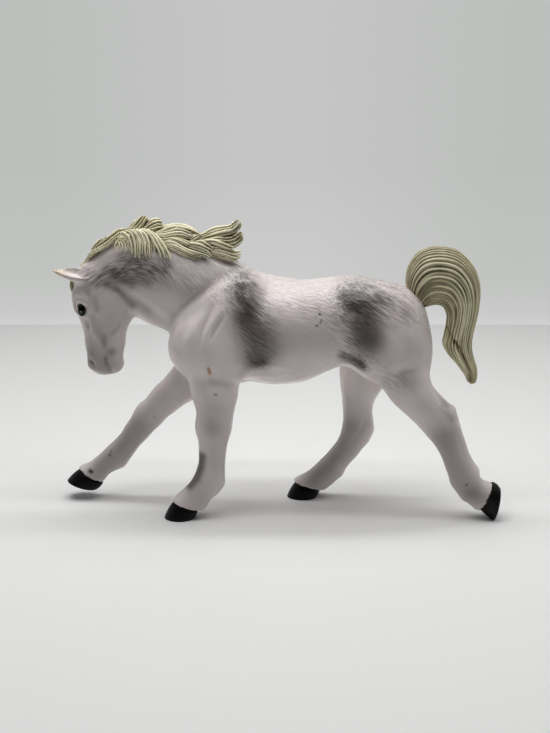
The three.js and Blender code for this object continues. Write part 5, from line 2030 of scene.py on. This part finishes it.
HOOVES = (
    Hoof("near_fore_hoof", (3.1, -10.0, 0)),
    Hoof("off_fore_hoof", (-32.3, 10.0, 4.45), -17, 11.4),
    Hoof("off_hind_hoof", (44.5, 10.5, 0), length=10.8),
    Hoof("near_hind_hoof", (108.8, -10.5, 5.2), 80, 12.2, toe_height=5.2),
)
MANE = (
    Lock(((-17.5, 0, 90.4), (-12.9, 0, 91.3), (-3.7, 0, 91.1), (5.2, 0, 89.8), (15.0, 0, 87.7)), 1.4, 18),
    # swept up the crest from the poll, over a bed of short hair
    Lock(((-25.6, -0.4, 84.6), (-21.8, -0.6, 87.9), (-17.8, -0.8, 90.4), (-14.0, -0.8, 92.2)), 0.5, 7),
    Lock(
        ((-28.0, 0, 82.8), (-24.5, 0, 86.6), (-20.7, 0.2, 90.4), (-17.2, 0.2, 92.9), (-13.3, 0, 94.4)),
        0.62,
        9,
    ),
    Lock(((-26.4, 1.6, 85.0), (-22.7, 2.3, 88.5), (-18.3, 2.3, 91.8), (-13.3, 1.5, 94.4)), 0.55, 8),
    # falling on the off side
    Lock(((-12.9, 0.8, 94.6), (-12.0, 4.5, 92.3), (-10.8, 6.0, 89.0), (-9.4, 6.8, 85.3)), 0.85),
    Lock(((-8.5, 0.8, 94.6), (-6.8, 4.8, 92.4), (-5.3, 6.3, 89.0), (-3.9, 7.0, 85.3)), 1.0),
    Lock(((-2.9, 0.8, 93.4), (-1.1, 4.5, 91.5), (0.5, 6.3, 88.4), (1.9, 7.2, 85.0)), 1.0),
    Lock(((2.1, 0.8, 92.4), (4.7, 4.8, 90.9), (7.1, 6.5, 88.2), (9.8, 7.5, 85.8)), 0.9),
    # the cores of the standing tufts
    Lock(((-12.8, 0, 93.7), (-10.7, 1.5, 96.2), (-8.8, 2.0, 98.0), (-6.5, 2.0, 98.6)), 0.66, 8),
    Lock(((-8.4, 0, 93.4), (-6.4, 1.2, 95.8), (-4.2, 1.8, 97.0), (-1.7, 1.8, 96.9)), 0.7, 8),
    # the cores of the locks swept back over the shoulder
    Lock(((-5.0, 0, 93.6), (-0.5, 0.4, 94.9), (4.5, 0.6, 95.4), (7.9, 0.6, 94.8), (10.8, 0.4, 93.3)), 0.85),
    Lock(((-4.5, -0.6, 92.4), (1.7, -1.6, 93.2), (6.7, -1.8, 92.7), (11.3, -1.6, 93.3)), 0.8),
    Lock(((-2.4, -1.6, 91.8), (2.8, -3.2, 91.6), (7.7, -3.6, 90.6), (11.7, -3.2, 91.4)), 0.8),
    Lock(((-1.7, -2.3, 91.0), (3.1, -4.2, 89.8), (7.1, -5.0, 88.2), (10.8, -5.6, 87.4)), 0.72),
    # the cores of the loose end
    Lock(((7.6, 0, 90.6), (13.4, 0.2, 93.1), (18.9, 0.2, 94.2), (22.0, 0.1, 95.2), (23.3, 0, 97.6)), 0.85),
    Lock(
        ((7.6, -0.6, 90.2), (14.5, -1.2, 91.0), (19.6, -1.0, 90.8), (23.0, -0.6, 91.8), (24.2, -0.2, 93.9)),
        0.9,
    ),
    Lock(((8.8, -1.5, 89.2), (15.1, -2.6, 89.2), (19.8, -2.6, 88.4), (22.6, -2.4, 88.3)), 0.85),
    Lock(((9.4, -1.5, 88.6), (15.8, -3.0, 87.8), (20.0, -3.0, 87.0), (22.9, -2.6, 86.9)), 0.8),
    Lock(((8.8, 1.5, 89.7), (15.6, 3.6, 90.1), (20.0, 3.6, 90.0), (23.1, 2.6, 90.9)), 1.0),
)
MANE_STRANDS = (
    # the fan on the near side, from the front
    Strand(((-14.9, 94.5), (-13.6, 93.7), (-12.6, 92.5), (-12.2, 91.1), (-12.3, 90)), (-3, -5.4), 0.5),
    Strand(
        ((-14.4, 94.8), (-13.1, 94.2), (-11.9, 92.6), (-11.4, 90.9), (-11.2, 89.4), (-11, 87.8)),
        (-3.2, -5.6),
        0.55,
    ),
    Strand(
        ((-13.1, 95.2), (-11.3, 94.5), (-10.4, 92.8), (-10, 91), (-9.9, 89.1), (-10.1, 86.9)),
        (-3, -6.2),
        0.62,
    ),
    Strand(
        ((-12.5, 95.3), (-10.8, 94.9), (-9.6, 93.3), (-9.2, 91.3), (-9.2, 89.3), (-9.5, 87.4)),
        (-2.8, -6.2),
        0.5,
    ),
    Strand(
        ((-11.8, 95.3), (-10.1, 94.8), (-9.1, 93.3), (-8.6, 91.5), (-8.5, 89.4), (-8.8, 86.5)), (-3, -6.4)
    ),
    Strand(
        ((-11.2, 95.5), (-9.4, 95), (-8.2, 93.4), (-7.7, 91.4), (-7.6, 89.8), (-7.8, 87.9)), (-2.8, -6.3), 0.5
    ),
    Strand(
        ((-10.6, 95.5), (-8.7, 95), (-7.5, 93.3), (-6.9, 91.5), (-6.8, 89.5), (-6.4, 87)), (-2.8, -6.6), 0.62
    ),
    Strand(
        ((-10, 95.5), (-8.2, 95.1), (-6.9, 93.6), (-6.2, 91.6), (-6, 89.4), (-6.1, 87.9)), (-2.6, -6.5), 0.5
    ),
    Strand(((-9.6, 95.5), (-7.8, 95), (-6.4, 93.6), (-5.7, 91.6), (-5.4, 89.5), (-5.6, 87)), (-2.6, -6.6)),
    Strand(((-8.7, 95.5), (-6.6, 94.9), (-5, 93.6), (-3.7, 91.4), (-2.4, 89.3), (-1.7, 87.1)), (-2.4, -6.6)),
    Strand(
        ((-8.1, 95.6), (-5.7, 94.9), (-3.7, 93.1), (-2.2, 90.8), (-1, 88.7), (-0.4, 87)), (-2.2, -6.7), 0.62
    ),
    Strand(
        ((-7.8, 95.6), (-5.2, 94.8), (-3, 92.9), (-1.3, 90.4), (-0.1, 88.3), (0.6, 86.8)), (-2, -6.7), 0.5
    ),
    Strand(((-7.4, 95.6), (-4.7, 94.7), (-2.3, 92.6), (-0.3, 90), (0.7, 88.2), (1.5, 86)), (-2, -6.8), 0.66),
    # strands that lie deeper under it
    Strand(((-11.6, 94.2), (-11, 92.4), (-10.8, 90.2), (-10.8, 88.7)), (-2.8, -5.4), 0.55),
    Strand(((-9.3, 93.5), (-8.3, 91.4), (-8.3, 89.3), (-8.2, 88.1)), (-2.8, -5.4), 0.55),
    Strand(((-7.4, 94.2), (-5.7, 92.6), (-4.9, 90.6), (-4.9, 88.1)), (-3, -5.4), 0.55),
    Strand(((-6.7, 94), (-4.9, 92.3), (-4, 90.3), (-3.6, 87.8)), (-3, -5.6), 0.55),
    Strand(((-5.2, 93.5), (-3.3, 91.6), (-2, 89.3), (-1.3, 87.8)), (-2.5, -5.6), 0.5),
    # short hairs under the arch
    Strand(((-15.8, 92.3), (-16.3, 91.4), (-16.5, 90.3), (-16.7, 89.2)), (-4.2, -5.4), 0.32),
    Strand(((-15.7, 92.1), (-15.1, 91.2), (-15.2, 90.1), (-15.6, 89.1)), (-4.2, -5.4), 0.32),
    Strand(((-15, 91.9), (-14.3, 91), (-14.1, 90), (-14.5, 88.6)), (-4, -5.4), 0.34),
    Strand(((-14.3, 92.1), (-13.2, 91), (-13.1, 89.8), (-13.5, 88.4)), (-3.8, -5.4), 0.36),
    # the band up the crest from the poll
    Strand(
        ((-25.9, 86.5), (-23.5, 88.6), (-21.6, 89.7), (-19.2, 91.3), (-17, 93.1), (-15.3, 94.5), (-13.8, 95)),
        (-1.6, -2.6),
        0.55,
    ),
    Strand(
        (
            (-25.2, 86.6), (-23.1, 88.3), (-21.1, 89.4), (-18.9, 90.8), (-17.1, 92.3), (-15.4, 93.8),
            (-14.1, 94.5),
        ),
        (-2.2, -3.2),
        0.5,
    ),
    Strand(
        (
            (-25.8, 86.9), (-24, 88.8), (-22.4, 90.4), (-20.6, 91.7), (-18.6, 93.2), (-16.7, 94.7),
            (-15.4, 95.5),
        ),
        (-0.8, -1.6),
        0.55,
    ),
    Strand(((-24.7, 88.8), (-23.6, 90.1), (-22.4, 91.5), (-21, 92.6)), (-0.2, -1), 0.5),
    Strand(((-24.2, 88.5), (-22.5, 90.3), (-21, 91.9), (-19.7, 93.1)), (-0.3, -1.2), 0.5),
    Strand(((-22.1, 89.9), (-20.3, 91.8), (-19, 93.1), (-17.8, 94.1)), (-0.2, -1), 0.5),
    Strand(((-19.4, 92), (-17.9, 93.6), (-16.7, 94.8), (-15.3, 95.6)), (-0.1, -0.6), 0.5),
    Strand(((-17.5, 93.3), (-15.8, 94.8), (-14.1, 95.4), (-12.1, 95.5)), (0.2, -0.4), 0.5),
    # the front tuft
    Strand(((-12.1, 95.4), (-11, 96.2), (-9.9, 97.7), (-9, 98.8), (-8, 99.5)), (-0.6, 1.2), 0.6, 0.6),
    Strand(((-11.1, 95.5), (-9.8, 96.3), (-8.7, 97.6), (-7.9, 98.8), (-7.3, 99.5)), (-1, 0.6), 0.6, 0.6),
    Strand(((-9.8, 95.4), (-8.5, 96.4), (-7.6, 97.6), (-6.9, 98.7), (-6.5, 99.5)), (-1.4, 0.4), 0.6, 0.6),
    Strand(((-10.9, 95.5), (-9.3, 97.1), (-8.2, 98.5), (-7.1, 99.4)), (0.2, 1.8), 0.6, 0.6),
    Strand(((-8.5, 95.3), (-7.5, 96.1), (-6.8, 97.2), (-6.4, 98.5)), (-1, 0.6), 0.6, 0.6),
    # the second tuft
    Strand(((-7.6, 95.6), (-6.3, 97.2), (-5, 98.2), (-3.6, 98.5), (-2.2, 98.4)), (-0.6, 0.8), 0.6, 0.6),
    Strand(((-7.2, 95.6), (-5.6, 96.9), (-4, 97.7), (-2.7, 97.9), (-1.7, 97.6)), (-1.2, 0.4), 0.6, 0.6),
    Strand(((-6.5, 95.4), (-4.8, 96.3), (-3.2, 96.9), (-1.6, 96.8)), (-1.6, 0), 0.6, 0.6),
    Strand(((-6.2, 95.3), (-4.3, 95.6), (-2.9, 96), (-1.6, 96)), (-1.8, -0.4), 0.6, 0.6),
    Strand(((-7, 95.9), (-5.7, 97.3), (-4.1, 98.2), (-2.5, 98)), (0.4, 1.4), 0.6, 0.6),
    # swept back along the top
    Strand(
        ((-5, 94.8), (-2.4, 94.8), (-0.4, 95.9), (1.2, 96.6), (3.1, 97), (5, 96.8), (7, 96)), (-1.2, -0.2)
    ),
    Strand(
        ((-1.7, 95), (0.2, 96.1), (2.2, 96.6), (4.4, 96.5), (6.7, 95.9), (8.6, 95), (10, 94.1)),
        (-1.4, -0.5),
        0.55,
    ),
    Strand(
        ((-3, 94.7), (-1, 95.2), (0.6, 95.9), (2.5, 96.3), (5.1, 96), (7.3, 95.5), (9.6, 94.4), (10.8, 93.6)),
        (-1.8, -0.8),
    ),
    Strand(
        ((-3.6, 94.4), (-1, 94.5), (1.2, 95.1), (3.5, 95.6), (5.4, 95.2), (7.2, 94.5), (8.5, 93.5)),
        (-2.2, -1.4),
    ),
    Strand(((-4.2, 94), (-1.3, 93.8), (1.6, 94.3), (4.2, 94.6), (6.4, 94), (8.2, 92.9)), (-2.6, -2.2), 0.75),
    Strand(((-3.5, 93.5), (-1, 93.2), (1.9, 93.6), (4.5, 93.8), (6.8, 93.2), (8, 92.5)), (-2.8, -2.6), 0.7),
    Strand(((-3.2, 92.3), (-0.3, 92.5), (2.3, 92.9), (4.8, 93), (7.4, 92.7)), (-3, -3), 0.55),
    Strand(((-0.3, 92.1), (1.9, 92.5), (4.2, 92.2), (6.1, 91.6), (7.6, 91.5)), (-3, -3.2), 0.65),
    Strand(((6.7, 91.4), (8, 92.4), (9.3, 93.4), (10.9, 94.2)), (-2.6, -2.4)),
    Strand(((6.9, 91.1), (8.3, 91.8), (9.8, 92.9), (10.9, 93.9)), (-3, -2.4), 0.75),
    # lying on the shoulder
    Strand(
        (
            (-3.2, 92.2), (-0.9, 91.7), (1.4, 91.8), (3.5, 91), (5.6, 89.8), (7.8, 89), (10.4, 88.4),
            (12.7, 87.8), (14, 87),
        ),
        (-3.4, -6.2),
        0.62,
    ),
    Strand(
        (
            (-2.2, 91.9), (0.1, 91.4), (2.2, 91.3), (4.3, 90.4), (6.6, 89.3), (8.8, 88.4), (10.9, 87.7),
            (12.4, 87.3),
        ),
        (-3.6, -6.3),
        0.5,
    ),
    Strand(
        ((-2.2, 91.6), (0.1, 91.1), (2.4, 90.7), (4.6, 89.8), (6.9, 88.7), (9.1, 87.8), (11.2, 87)),
        (-3.8, -6.4),
    ),
    Strand(((-1.6, 91.2), (0.7, 90.5), (3, 89.9), (5.3, 89), (7.5, 87.9), (9.8, 87.1)), (-4, -6.4), 0.55),
    Strand(((-1.2, 90.8), (1.1, 90), (3.3, 89.2), (5.6, 88.1), (7.8, 87.2), (9.9, 86.6)), (-4.2, -6.4), 0.62),
    Strand(
        ((5.1, 90.4), (6.8, 91), (8.8, 91.2), (10.9, 90.9), (12.6, 90.2), (14.5, 89.4)), (-3.2, -5.4), 0.66
    ),
    Strand(((7.4, 91.3), (9.7, 91.8), (11.6, 91.8), (13.3, 91), (15.1, 89.7)), (-3, -4.8), 0.55),
    Strand(((5.5, 90.1), (7.8, 90.5), (10.1, 90.2), (12.3, 89.4), (14.3, 88.3)), (-3.4, -5.8), 0.55),
    Strand(((5.5, 89.8), (7.5, 90), (9.7, 89.5), (12, 88.8), (13.6, 88), (14.6, 87.2)), (-3.6, -6)),
    # the curl at the loose end
    Strand(
        (
            (8.9, 92.2), (11.2, 93.5), (13.4, 94.9), (15.7, 95.8), (18, 96.1), (20.1, 96.5), (21.7, 97.7),
            (23.1, 98.8),
        ),
        (-1.2, -0.2),
        0.6,
        0.4,
    ),
    Strand(
        (
            (8.9, 92), (11.5, 93.2), (14, 94.4), (16.2, 95.2), (18.3, 95.4), (20.4, 95.9), (22, 97.1),
            (23.4, 98.5),
        ),
        (-1.8, -0.6),
        0.6,
        0.4,
    ),
    Strand(
        (
            (9.3, 91.8), (11.9, 92.8), (14.5, 93.7), (16.9, 94.4), (19, 94.8), (20.9, 95.3), (22.5, 96.5),
            (23.8, 98),
        ),
        (-2.2, -1),
        0.6,
        0.4,
    ),
    Strand(
        (
            (9.9, 91.8), (12.5, 92.5), (15.1, 93.1), (17.7, 93.6), (19.9, 94), (21.9, 94.7), (23.4, 95.9),
            (24.1, 97.3),
        ),
        (-2.4, -0.6),
        0.6,
        0.4,
    ),
    Strand(
        ((9.7, 92.4), (12.7, 94.2), (15.6, 95.2), (18.6, 95.6), (20.9, 96.4), (22.6, 97.9)),
        (0.8, 0.6),
        0.6,
        0.4,
    ),
    Strand(
        ((11.1, 92.1), (14.3, 93.6), (17.6, 94.3), (20.5, 94.9), (22.8, 96.2), (23.9, 97.4)),
        (0.6, 0.4),
        0.6,
        0.4,
    ),
    # the second curl
    Strand(
        ((11.6, 91.9), (14.1, 92.5), (16.7, 92.8), (19, 92.6), (20.9, 92.9), (22.5, 93.9), (24, 94.8)),
        (-2.8, -1.4),
        0.6,
        0.45,
    ),
    Strand(
        ((12.2, 91.7), (14.8, 92.1), (17.4, 91.9), (19.6, 91.7), (21.6, 92.2), (23.2, 93.3), (24.4, 94.3)),
        (-3, -1.6),
        0.6,
        0.45,
    ),
    Strand(
        ((14.5, 91.6), (17.1, 91.3), (19.6, 90.8), (21.9, 91.2), (23.5, 92.3), (24.5, 93.5)),
        (-3.2, -1.8),
        0.6,
        0.45,
    ),
    Strand(
        ((15.8, 90.8), (18.3, 90.2), (20.9, 89.9), (22.8, 90.7), (24.1, 91.9), (24.6, 92.9)),
        (-3, -1.8),
        0.6,
        0.45,
    ),
    Strand(((13, 91.6), (16.5, 91.5), (19.8, 91.5), (22.4, 92.7), (24.1, 94.2)), (1.4, 1), 0.65, 0.45),
    Strand(((13.6, 90.5), (17.2, 90.2), (20.5, 90.2), (23.1, 91.5), (24.4, 93)), (1.4, 1), 0.65, 0.45),
    # the last locks over the withers
    Strand(
        ((11, 91.8), (13.1, 92.1), (15.2, 92.1), (17.4, 91.4), (19.7, 90.6), (21.6, 89.9)),
        (-3.4, -4),
        0.6,
        0.55,
    ),
    Strand(((12.6, 91.4), (14.8, 91.2), (17.1, 90.5), (19.3, 89.7), (21.3, 89.3)), (-3.6, -4.2), 0.6, 0.55),
    Strand(
        ((13.6, 90.3), (15.8, 89.8), (18, 89.5), (20.3, 88.9), (22.2, 88.6), (24, 88.7)),
        (-4, -3.4),
        0.66,
        0.55,
    ),
    Strand(
        ((13.9, 89.6), (16.1, 89.1), (18.4, 88.6), (20.6, 87.9), (22.5, 87.7), (24, 87.9)),
        (-4.2, -3.8),
        0.62,
        0.55,
    ),
    Strand(
        ((14.2, 88.9), (16.4, 88.2), (18.7, 87.6), (20.6, 86.9), (22.4, 86.6), (23.8, 87)),
        (-4.4, -4),
        0.66,
        0.55,
    ),
    Strand(((14.5, 88.3), (16.8, 87.5), (19, 86.6), (20.9, 86), (22.9, 85.9)), (-4.4, -4.2), 0.62, 0.55),
)
MANE_LIGHT_AND_SHADE = (
    # painted light and shade: the fan is painted paler; darker are the tufts, the inside of the curl, the
    # seam between the fan and the shoulder locks, and the band from the poll
    Mark(((-10.0, 93.5), (-4.0, 92.0)), 3.4, -0.12),
    Mark(((4.0, 89.5), (20.0, 90.5)), 4.0, 0.1),
    Mark(((-12.0, 95.5), (-8.0, 98.0)), 2.6, 0.3),
    Mark(((-5.0, 96.0), (-1.5, 96.6)), 2.4, 0.22),
    Mark(((19.0, 92.5), (22.5, 92.6), (23.6, 94.6)), 2.0, 0.3),
    Mark(((1.0, 92.6), (8.0, 92.8), (13.0, 93.4)), 1.2, 0.22),
    Mark(((-24.0, 86.6), (-18.0, 91.4)), 2.6, 0.22),
    Mark(((4.0, 87.4), (12.0, 86.6), (20.0, 86.2)), 1.4, 0.22),
)
# painted shade: the forelock darker, as it lies in shadow
FORELOCK_SHADE = (Mark(((-31.5, 78.0), (-31.0, 74.0)), 4.0, 0.45),)
FORELOCK = (Lock(((-23.5, 0, 82.3), (-27.9, 0, 81.6), (-31.1, 0, 77.5), (-31.5, -0.3, 73.6)), 0.95, 7),)


def main() -> None:
    """Builds the horse and its studio."""
    logging.basicConfig(level=logging.INFO, format="%(name)s: %(message)s")
    Studio().build()
    vinyl = AirbrushedVinyl().material()
    hair = HairPaintWithShade().material()
    horn = BrushedBlack().material()
    lacquer = EyeLacquer().material()
    Skin().build(vinyl)
    for hoof in HOOVES:
        hoof.build(horn)
    for side in (Side.NEAR, Side.OFF):
        Eye(side).build(lacquer)
    Hair("mane_hair", "mane", MANE, MANE_STRANDS, MANE_LIGHT_AND_SHADE).build(hair)
    Hair("forelock_hair", "forelock", FORELOCK, light_and_shade=FORELOCK_SHADE, width=4.0).build(hair)
    Tail().build(hair)


if __name__ == "__main__":
    main()
